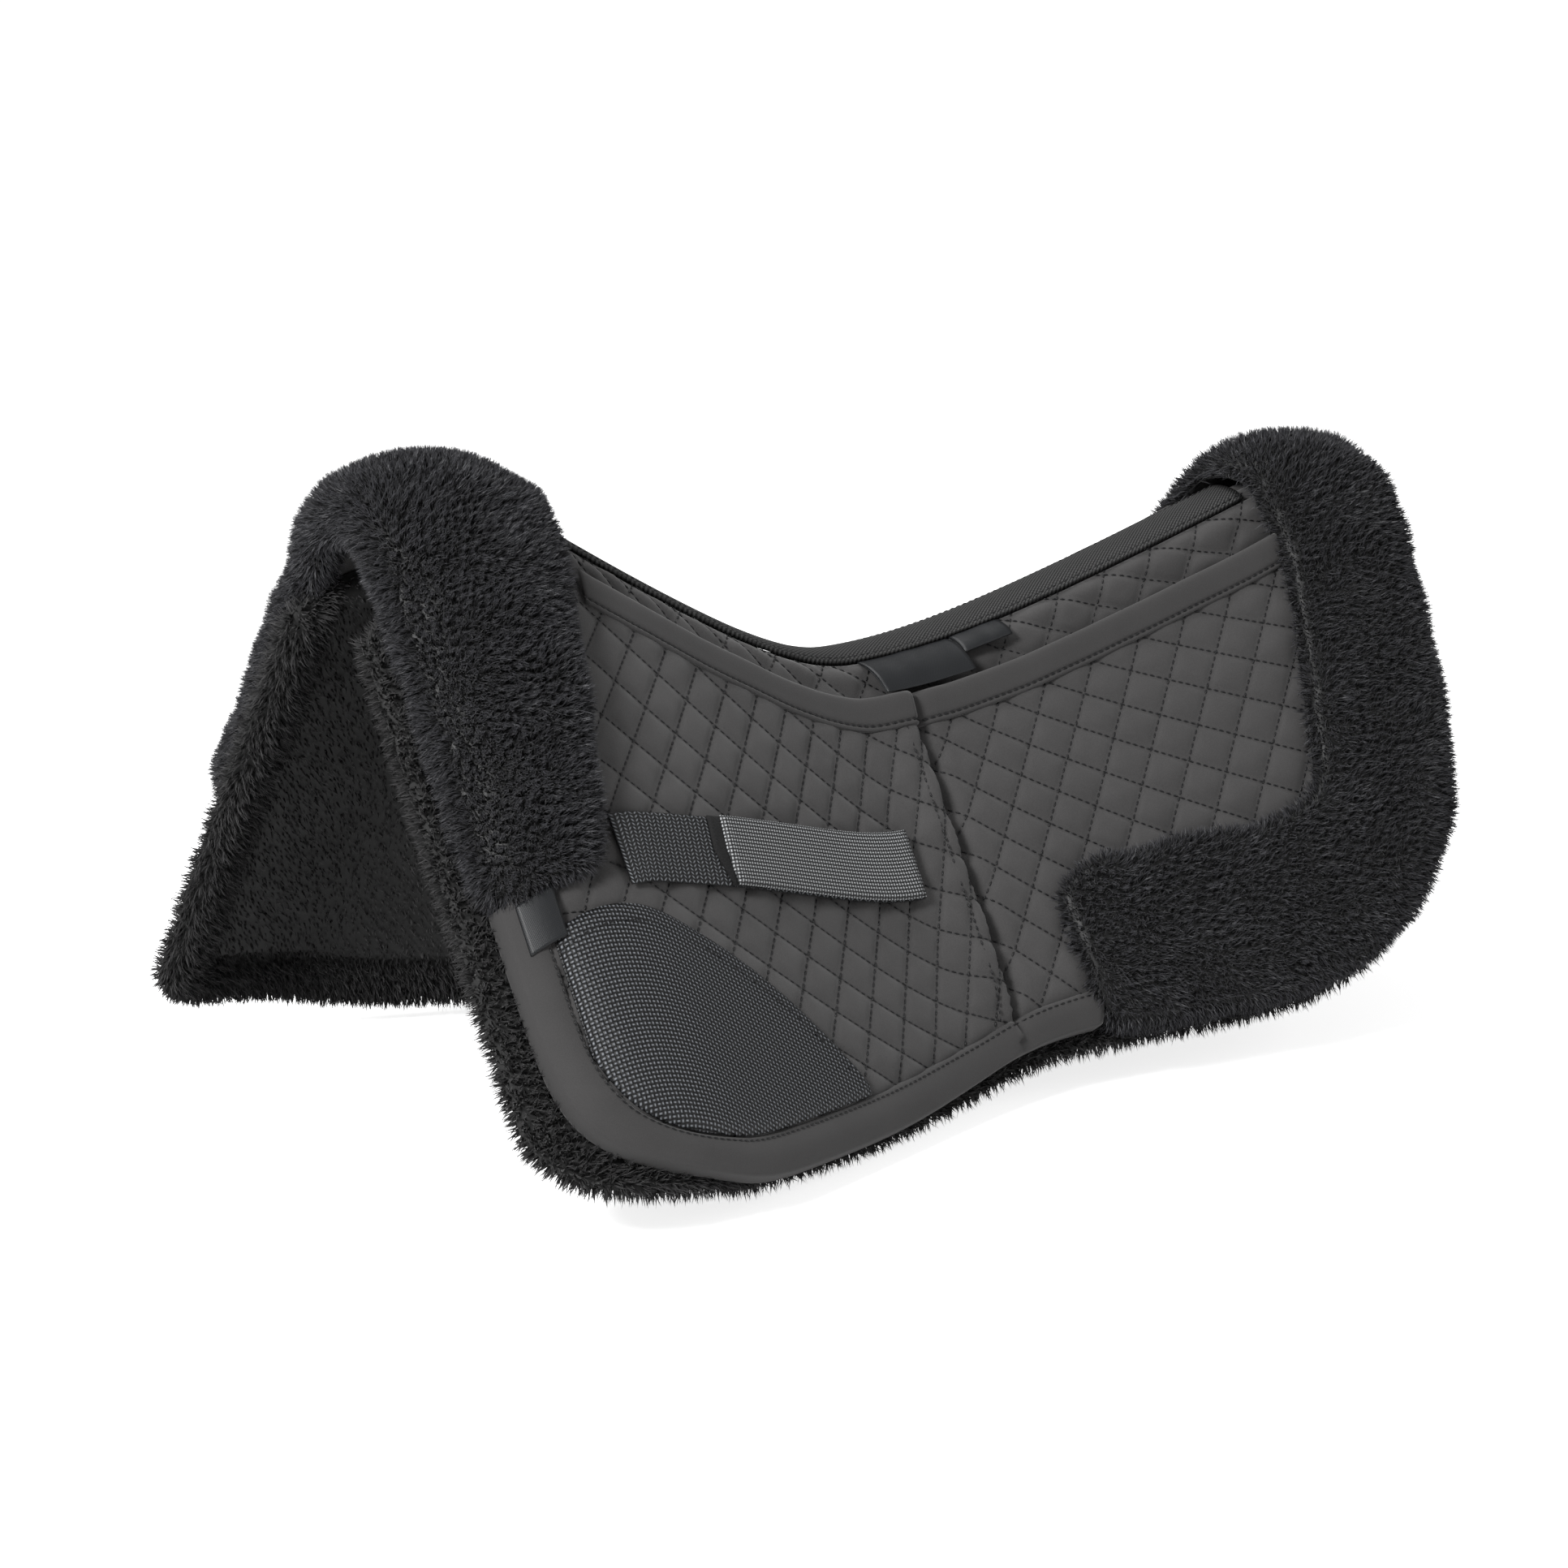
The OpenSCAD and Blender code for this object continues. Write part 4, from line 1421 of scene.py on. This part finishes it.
@dataclass
class Fleece:
    """The pommel roll, the cantle roll and the lining, all with their pile."""

    shop: Workshop

    def grow(self, obj: bpy.types.Object, values: dict[str, object], finish: bpy.types.Material) -> None:
        """Covers a skin with pile.

        Args:
            obj: The skin, with its cover and pile attributes.
            values: The pile's own settings.
            finish: The pile's material.
        """
        self.shop.dress(obj, finish)
        given = {
            "Width": 0.0008,
            "Bend": 0.30,
            "Swirl": 1.1,
            "Lock Size": 0.0042,
            "Lock Pull": 0.42,
            "Comb": (0.0, 0.0, -0.12),
        }
        run_tree(obj, self.shop.pile.tree, {**given, **values, "Fibre": finish})

    def profile(self, width: float) -> tuple[np.ndarray, np.ndarray]:
        """A roll's section: inset from the edge, and share of the way from its foot to its top.

        Args:
            width: The roll's width from the edge inward, in metres.

        Returns:
            The insets, and pairs of weights for the level above the cover and below the base.
        """
        w = width / MM
        keys = [
            (14, -7.6, 0),
            (4, -8.0, 0),
            (-3, -7.4, 0),
            (-5.6, -2.0, 0),
            (-6.0, 4.0, 0.25),
            (-4.0, 8.4, 0.6),
            (1.5, 9.6, 0.9),
            (9, 9.9, 1),
            (w * 0.30, 9.5, 1),
            (w * 0.55, 9.5, 1),
            (w - 14, 10.0, 1),
            (w - 6.5, 9.2, 1),
            (w - 3.4, 6.5, 1),
            (w - 3.0, 2.6, 1),
            (w - 4.5, 0.6, 1),
            (w * 0.5, 0.4, 1),
            (14, -2.0, 0.3),
        ]
        section = spline(keys, 3)
        return section[:, 0] * MM, section[:, 1:] * np.array([MM, 1])

    def roll(self, name: str, path: np.ndarray, widths: np.ndarray, tail: str) -> bpy.types.Object:
        """Meshes one half of a roll.

        Args:
            name: The piece's name.
            path: Rows of edge place and inward normal, in order.
            widths: The roll's width at each row.
            tail: Which end is rounded, "first" or "last".

        Returns:
            The skin, with its cover and pile attributes.
        """
        rows, covers = [], []
        gaps = np.linalg.norm(np.diff(path[:, :2], axis=0), axis=1)
        along = np.concatenate([[0], np.cumsum(gaps)])
        to_end = along if tail == "first" else along[-1] - along
        for (x, u, nx, nu), width, left in zip(path, widths, to_end):
            inset, heights = self.profile(width)
            round_off = math.sqrt(max(0.02, 1 - (1 - min(left / 0.020, 1)) ** 2))
            middle = width * 0.42
            inset = middle + (inset - middle) * (0.62 + 0.38 * round_off)
            px, pu = x + nx * inset, u + nu * inset
            if tail == "first":
                px = px - 0.017 * inset / width * math.exp(-left / 0.035)
            cover = FORM.cover_level(FORM.within(px), np.maximum(pu, 0.05))
            cover = cover * smooth(pu, 0.026, 0.060) + 0.0065 * (1 - smooth(pu, 0.026, 0.060))
            level = heights[:, 0] * (0.45 + 0.55 * round_off) + cover * heights[:, 1]
            rows.append(FORM.place(px, np.maximum(pu, 0), level))
            covers.append((heights[:, 0] > 0.0012) | (inset < 0.010))
        rows = np.array(rows)
        obj = tube(name, rows)
        mesh = obj.data
        co = np.array([v.co for v in mesh.vertices])
        normals = np.array([v.normal for v in mesh.vertices])
        swell = 0.0022 * lumps(co, 0.034, 1.3) + 0.0014 * lumps(co, 0.013, 7.7)
        swell *= smooth(np.abs(co[:, 1]), 0.0, 0.012)
        co += normals * swell[:, None]
        mesh.vertices.foreach_set("co", co.astype(np.float32).ravel())
        mesh.update()
        cover = np.concatenate([np.array(covers).ravel().astype(float), [0, 0]])
        if tail == "first":
            cover[-2] = 1
        else:
            cover[-1] = 1
        set_attribute(obj, "cover", cover)
        set_attribute(obj, "pile", 0.85 + 0.3 * lumps(co, 0.02, 4.4))
        return obj

    def fit_roll(self, near: bpy.types.Object, nodes: Sequence[str], density: float) -> None:
        """Mirrors a roll's skin, grows both piles and fits them."""
        off = mirrored(near, near.name.replace("near_", "off_"))
        for side, obj, seed in ((Side.NEAR, near, 11), (Side.OFF, off, 23)):
            self.grow(obj, {"Density": density, "Length": 0.0078, "Seed": seed}, self.shop.finishes.fleece)
            self.shop.bend(obj, side)
            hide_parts(*(n[1:] if n[0] == "=" else f"{side.value}_{n}" for n in nodes))
            log.info("%s: %d faces", obj.name, len(obj.data.polygons))

    def pommel(self) -> None:
        """Builds the roll over the front of the arch and down the front edge."""
        us = np.concatenate([np.linspace(0, 0.190, 64), np.linspace(0.190, 0.2135, 12)[1:]])
        path = np.stack([np.full_like(us, -FORM.front), us, np.ones_like(us), np.zeros_like(us)], -1)
        widths = 0.094 - 0.042 * np.clip((us - 0.0348) / 0.1792, 0, 1) + 0.010 * np.exp(-((us / 0.016) ** 2))
        skin = self.roll("near_pommel_fleece", path, widths, "last")
        self.fit_roll(skin, ("pommel_yoke", "pommel_roll", "=pommel_crown"), 1.85e6)

    def cantle(self) -> None:
        """Builds the roll round the rear hem and over the rear of the arch."""
        path = FORM.outline()
        first = int(np.argmax((path[:, 0] > 0.062) & (path[:, 1] > 0.1)))
        path = path[first:]
        top = path[-1].copy()
        top[:2] = (FORM.rear, 0.0)
        top[2:] = (-1.0, 0.0)
        path = np.vstack([path, top])
        gaps = np.linalg.norm(np.diff(path[:, :2], axis=0), axis=1)
        path = path[np.concatenate([[True], gaps > 0.0008])]
        skin = self.roll("near_cantle_fleece", path, np.full(len(path), 0.082), "first")
        self.fit_roll(skin, ("cantle_yoke", "cantle_trim", "=cantle_crown"), 8.5e5)

    def lining(self) -> None:
        """Builds the shorn lining under each panel, with its long fringe."""
        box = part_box("near_lining")
        low, high = box[0][0] - 0.005, box[1][0] - 0.001
        top = 0.0595
        xs = xs_between(low, high, 0.0065)
        base_x = -FORM.front + (xs - low) * (FORM.front + FORM.rear) / (high - low)
        bottom = FORM.hem_depth(FORM.within(base_x)) + 0.0085
        x, u = panel_grid(xs, top, bottom, 56)
        edge = np.minimum.reduce([(bottom[:, None] - u) * 0.86, x - low, high - x])
        lip = np.minimum(edge, u - top)
        body = np.sqrt(np.clip(1 - (1 - np.clip(lip / 0.011, 0, 1)) ** 2, 0, 1))
        groove = 0.0035 * np.exp(-(((edge - 0.027) / 0.0035) ** 2))
        flat = FORM.place(x, u, -0.009)
        swell = 0.0016 * lumps(flat, 0.045, 6.1) + 0.0008 * lumps(flat, 0.014, 2.1)
        depth = 0.0090 * body + (swell - groove) * smooth(lip, 0.002, 0.012)
        outer, inner = FORM.place(x, u, -0.0088), FORM.place(x, u, -0.0092 - depth)
        obj = shell("near_fleece_lining", outer, inner)
        count = x.size
        rim = 1 - smooth(edge, 0.024, 0.032)
        cover = np.concatenate([(edge.ravel() < 0.022).astype(float), 0.24 + 0.76 * rim.ravel()])
        long = 0.45 + 0.55 * (1 - smooth(edge, 0.022, 0.030))
        set_attribute(obj, "cover", cover)
        set_attribute(obj, "pile", np.concatenate([long.ravel(), long.ravel()]))
        self.grow(
            obj,
            {"Density": 6.3e5, "Length": 0.0080, "Width": 0.0011, "Lock Size": 0.0044, "Seed": 31},
            self.shop.finishes.shorn,
        )
        self.shop.fit(obj, "panel", "fleece_lining", ("lining",), padded=0.6)

    def build(self) -> None:
        """Builds all the fleece."""
        self.pommel()
        self.cantle()
        self.lining()


# ------------------------------------------------------------ straps and trims


@dataclass
class KeeperStrap:
    """The girth keeper: a ribbed strap, its folded flap and the hook strip under it."""

    shop: Workshop
    width: float = 0.036
    start: tuple[float, float] = (-0.215, 0.200)
    slope: float = -0.345

    def half(self, x: np.ndarray) -> np.ndarray:
        """Half the strap's width as a step in x and depth, square to its run."""
        rise = (FORM.spine_z(x + 0.0005) - FORM.spine_z(x - 0.0005)) / 0.001
        cos, sin = math.cos(FORM.lean), math.sin(FORM.lean)
        a = (rise * cos - self.slope) / (1 + rise**2 - rise * self.slope * cos)
        size = np.sqrt(a**2 + sin**2 + (a * rise - cos) ** 2)
        return np.stack([a, np.ones_like(a)], -1) * (self.width / 2 / size)[..., None]

    def band(
        self,
        name: str,
        low: float,
        high: float,
        foot: float,
        top: float,
        dome: float,
        cut: float = 0.0,
        trim: float = 0.0,
    ) -> bpy.types.Object:
        """Meshes a length of the strap.

        Args:
            name: The piece's name.
            low: Its first x.
            high: Its last x.
            foot: Level of its lower face above the cover.
            top: Level of its upper face.
            dome: How far its middle rises.
            cut: How far its lower front corner is cut back.
            trim: How far its lower rear corner is cut back.

        Returns:
            The object.
        """
        xs = xs_between(low, high, 0.003)
        ws = np.array([-1, -0.97, -0.9, -0.6, -0.3, 0, 0.3, 0.6, 0.9, 0.97, 1])
        x, w = np.meshgrid(xs, ws, indexing="ij")
        share = (x - low) / (high - low)
        x = x + cut * np.clip(w, 0, 1) * (1 - share) - trim * (w + 1) / 2 * share
        half = self.half(x)
        u = self.start[1] + self.slope * (x - self.start[0])
        u = u - 0.0065 * np.sin(np.clip((x - self.start[0]) / 0.202, 0, 1) * math.pi)
        px, pu = x + half[..., 0] * w, u + half[..., 1] * w
        ends = np.minimum(share, 1 - share) * (high - low)
        soft = np.minimum(smooth(1 - np.abs(w), -0.02, 0.12), smooth(ends, -0.0004, 0.0016))
        level = FORM.cover_level(px, pu)
        wave = 0.0004 * lumps(np.stack([px, pu, 0 * pu], -1), 0.03, 8.8)
        upper = FORM.place(px, pu, level + foot + (top - foot) * (0.45 + 0.55 * soft) + (dome + wave) * soft)
        lower = FORM.place(px, pu, level + foot)
        return shell(name, upper, lower, np.stack([x * 1.09, w * self.width / 2], -1))

    def build(self) -> None:
        """Builds and fits the strap's pieces."""
        shop, finish = self.shop, self.shop.finishes
        base = self.band("near_keeper_strap", -0.220, -0.0155, 0.0028, 0.0042, 0.0003, 0.0, 0.006)
        shop.dress(base, finish.ribbed)
        shop.fit(base, "panel", "strap_webbing", ("strap_base",))
        hook = self.band("near_keeper_hook", -0.157, -0.126, 0.0046, 0.0062, 0.0002, 0.009)
        shop.dress(hook, finish.hook)
        shop.fit(hook, "strap_flap", "hook_fastener", ("strap_hook",))
        flap = self.band("near_keeper_flap", -0.149, -0.0172, 0.0064, 0.0082, 0.0006, 0.003, 0.006)
        shop.dress(flap, finish.close_webbing)
        shop.fit(flap, "strap_flap", "strap_webbing", ("strap_flap",))


@dataclass
class Trims:
    """The wear patch, side tab and blank labels."""

    shop: Workshop

    def patch(self) -> None:
        """Builds the heavy woven patch over the front of the hem."""
        low, high = -0.269, -0.100
        xs = xs_between(low, high, 0.004)
        v = (xs - low) / (high - low)
        top = 0.226 + 0.012 * (1 - v) ** 4 + 0.044 * v**4
        bottom = np.maximum(FORM.hem_depth(xs, 0.0150), top + 0.004)
        x, u = panel_grid(xs, top, bottom, 30)
        level = FORM.cover_level(x, u)
        a, b = (x + 0.1073) / 0.0155, (u - 0.0974) / 0.0265
        ghost = 0.0004 * np.abs(np.sin(np.pi * (a - 0.28 * b)) * np.sin(np.pi * (b - 0.2 * a)))
        rim = np.minimum.reduce([u - top[:, None], bottom[:, None] - u, x - low, high - x])
        seat = 0.0016 * (1 - smooth(rim, 0.0, 0.003))
        outer = FORM.place(x, u, level + 0.0037 + ghost - seat)
        obj = shell("near_wear_cloth", outer, FORM.place(x, u, level + 0.0016), np.stack([x, u], -1))
        self.shop.dress(obj, self.shop.finishes.ballistic)
        steps = np.linalg.norm(np.diff(outer, axis=0), axis=2)[:, :-1] * np.linalg.norm(
            np.diff(outer, axis=1), axis=2
        )[:-1]
        wide, tall = high - low + 0.004, float((bottom - top).max()) + 0.006
        area = min(float(steps.sum()), wide * tall * 0.99)
        facts = {"flat": (wide, tall), "held": "stretched", "rests_on": ["near_front_cover"], "area": area}
        self.shop.fit(obj, "panel", "ballistic_fabric", ("wear_patch",), sheet=facts)
        keep = (bottom - top) > 0.020
        path = FORM.place(xs[keep], top[keep] + 0.009, FORM.cover_level(xs[keep], top[keep] + 0.009) + 0.0040)
        rows = stitch_rows(self.shop, "near_wear_stitches", [path])
        self.shop.fit(rows, "panel", "ballistic_fabric", ())

    def tab(self) -> None:
        """Builds the small blank tab below the pommel roll."""
        x, u = np.meshgrid(
            xs_between(-0.282, -0.264, 0.0015), xs_between(0.2165, 0.2415, 0.0015), indexing="ij"
        )
        level = FORM.cover_level(x, u) + 0.0046
        curl = 0.0002 * np.sin((x + 0.282) / 0.018 * math.pi)
        obj = shell(
            "near_blank_tab",
            FORM.place(x, u, level + 0.0010 + curl),
            FORM.place(x, u, level + curl),
            np.stack([x, u], -1),
        )
        self.shop.dress(obj, self.shop.finishes.satin)
        facts = {"flat": (0.018, 0.025), "held": "laid", "rests_on": ["near_front_cover"]}
        self.shop.fit(obj, "panel", "label", ("side_tab",), sheet=facts)

    def label(
        self, name: str, node: str, span: tuple[float, float], depth: tuple[float, float], climb: float
    ) -> None:
        """Builds a folded blank label sewn in beside the spine tape.

        Args:
            name: The label's name.
            node: The node it stands for.
            span: Its first and last x.
            depth: Its first and last depth.
            climb: How steeply it rises away from the tape.
        """
        near, far = depth
        run = spline(
            [
                (near, 0.0),
                (near + (far - near) * 0.5, 0.0),
                (far - 0.0008, 0.0),
                (far, 0.5),
                (far - 0.0008, 1.0),
                (near + (far - near) * 0.5, 1.0),
                (near, 1.0),
            ],
            6,
        )
        gap = 0.0016
        x, s = np.meshgrid(xs_between(*span, 0.002), np.arange(len(run)), indexing="ij")
        u, share = run[s.astype(int), 0], run[s.astype(int), 1]
        droop = 0.0007 * np.sin((x - span[0]) / (span[1] - span[0]) * math.pi) + 0.0005 * lumps(
            np.stack([x, u, 0 * u], -1), 0.012, 3.1
        )
        rise = 0.0008 + (u - near) * climb + droop
        bulge = gap * (0.35 + 0.65 * np.sin(np.clip((u - near) / (far - near), 0, 1) * math.pi * 0.8))
        outer = FORM.place(x, u, rise + share * bulge)
        inner = FORM.place(
            x,
            u - 0.0002 * np.sin(share * math.pi),
            rise + share * bulge + np.where(share > 0.5, -0.0004, 0.0004),
        )
        obj = shell(f"near_{name}", outer, inner, np.stack([x, s * 0.0015], -1))
        self.shop.dress(obj, self.shop.finishes.satin)
        self.shop.bend(obj, Side.NEAR)
        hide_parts(node)

    def build(self) -> None:
        """Builds every trim."""
        self.patch()
        self.tab()
        self.label("size_label", "size_label_loop", (0.002, 0.058), (0.0146, 0.038), 0.45)
        self.label("origin_label", "origin_label_tab", (0.060, 0.090), (0.0146, 0.028), 0.32)


@dataclass
class Shims:
    """The foam shims inside the pockets."""

    shop: Workshop

    def build(self) -> None:
        """Builds and fits the front and rear shims."""
        for name, body, low, high in (
            ("front_foam", "front_shim", -0.180, -0.004), ("rear_foam", "rear_shim", 0.025, 0.240)
        ):
            xs = low + (high - low) * (0.5 - 0.5 * np.cos(np.linspace(0, math.pi, 40)))
            top, bend = 0.076, 0.022
            x, u = panel_grid(xs, top, FORM.hem_depth(xs, 0.040) - 0.001, 32)
            rim = np.minimum.reduce([x - low, high - x, u - top, u.max(1)[:, None] - u])
            thin = 0.0020 * (1 - smooth(rim, 0.0, 0.004))
            corner = np.minimum(x - low, high - x)
            inset = bend - np.sqrt(np.clip(bend**2 - (bend - np.clip(corner, 0, bend)) ** 2, 0, None))
            middle = u.mean(1)[:, None]
            u = middle + (u - middle) * (1 - inset / (u.max(1) - u.min(1))[:, None] * 2)
            obj = shell(f"near_{name}", FORM.place(x, u, 0.0064 - thin), FORM.place(x, u, 0.0006 + thin))
            self.shop.dress(obj, self.shop.finishes.foam)
            self.shop.fit(obj, body, "foam", (body,), padded=1.0)


# ------------------------------------------------------------------ the studio


@dataclass
class Studio:
    """The camera, soft lights, white surround and floor."""

    azimuth: float = -35.0
    elevation: float = 14.5
    distance: float = 3.0
    lens: float = 134.16
    target: tuple[float, float, float] = (-0.02177, 0.01579, -0.06013)

    def camera(self) -> None:
        """Places the camera."""
        data = bpy.data.cameras.new("camera")
        data.lens = self.lens
        data.sensor_width = 36
        camera = bpy.data.objects.new("camera", data)
        a, e = math.radians(self.azimuth), math.radians(self.elevation)
        back = Vector((math.sin(a) * math.cos(e), -math.cos(a) * math.cos(e), math.sin(e)))
        camera.location = Vector(self.target) + back * self.distance
        camera.rotation_euler = back.to_track_quat("Z", "Y").to_euler()
        bpy.context.scene.collection.objects.link(camera)
        bpy.context.scene.camera = camera

    def light(self, name: str, place: tuple[float, float, float], size: float, power: float) -> None:
        """Adds one soft area light aimed at the pad."""
        data = bpy.data.lights.new(name, "AREA")
        data.shape = "SQUARE"
        data.size = size
        data.energy = power
        light = bpy.data.objects.new(name, data)
        light.location = place
        light.rotation_euler = (Vector(place) - Vector(self.target)).to_track_quat("Z", "Y").to_euler()
        bpy.context.scene.collection.objects.link(light)

    def floor(self) -> None:
        """Lays a plain white floor under the pad."""
        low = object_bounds()[0][2] - 0.001
        size = 6.0
        corners = np.array([[-size, -size, low], [size, -size, low], [size, size, low], [-size, size, low]])
        obj = new_object("floor", corners, [(0, 1, 2, 3)])
        material = bpy.data.materials.new("white_floor")
        material.use_nodes = True
        tree = material.node_tree
        tree.nodes.clear()
        matt = add_node(tree, "ShaderNodeBsdfDiffuse", None, {"Color": (0.8, 0.8, 0.8, 1)})
        glow = add_node(tree, "ShaderNodeEmission", None, {"Color": (1, 1, 1, 1), "Strength": 0.78})
        both = add_node(tree, "ShaderNodeAddShader", None, {0: matt.outputs[0], 1: glow.outputs[0]})
        path = add_node(tree, "ShaderNodeLightPath")
        mix = add_node(
            tree,
            "ShaderNodeMixShader",
            None,
            {0: path.outputs["Is Camera Ray"], 1: matt.outputs[0], 2: both.outputs[0]},
        )
        add_node(tree, "ShaderNodeOutputMaterial", None, {0: mix.outputs[0]})
        obj.data.materials.append(material)
        obj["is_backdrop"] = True

    def world(self) -> None:
        """Gives the surround: white to the camera, softer as a light."""
        world = bpy.data.worlds.new("studio")
        bpy.context.scene.world = world
        world.use_nodes = True
        tree = world.node_tree
        tree.nodes.clear()
        path = add_node(tree, "ShaderNodeLightPath")
        soft = add_node(tree, "ShaderNodeBackground", None, {0: (1, 1, 1, 1), 1: 0.30})
        white = add_node(tree, "ShaderNodeBackground", None, {0: (1, 1, 1, 1), 1: 1.0})
        mix = add_node(
            tree,
            "ShaderNodeMixShader",
            None,
            {0: path.outputs["Is Camera Ray"], 1: soft.outputs[0], 2: white.outputs[0]},
        )
        add_node(tree, "ShaderNodeOutputWorld", None, {0: mix.outputs[0]})

    def build(self) -> None:
        """Sets the whole studio."""
        self.camera()
        self.light("key", (-2.5, -1.0, 1.7), 0.7, 120)
        self.light("fill", (1.8, -2.0, 1.2), 1.8, 17)
        self.light("top", (-0.3, 0.9, 2.3), 1.5, 44)
        self.world()
        self.floor()
        bpy.context.scene.view_settings.view_transform = "Standard"


def main() -> None:
    """Builds the pad and its studio."""
    logging.basicConfig(level=logging.INFO, format="%(name)s: %(message)s")
    shop = Workshop(Finishes(), PileTree(), StitchTree())
    PadBase(shop).build()
    Pockets(shop).build()
    Trims(shop).build()
    KeeperStrap(shop).build()
    Shims(shop).build()
    Fleece(shop).build()
    Studio().build()


if __name__ == "__main__":
    main()
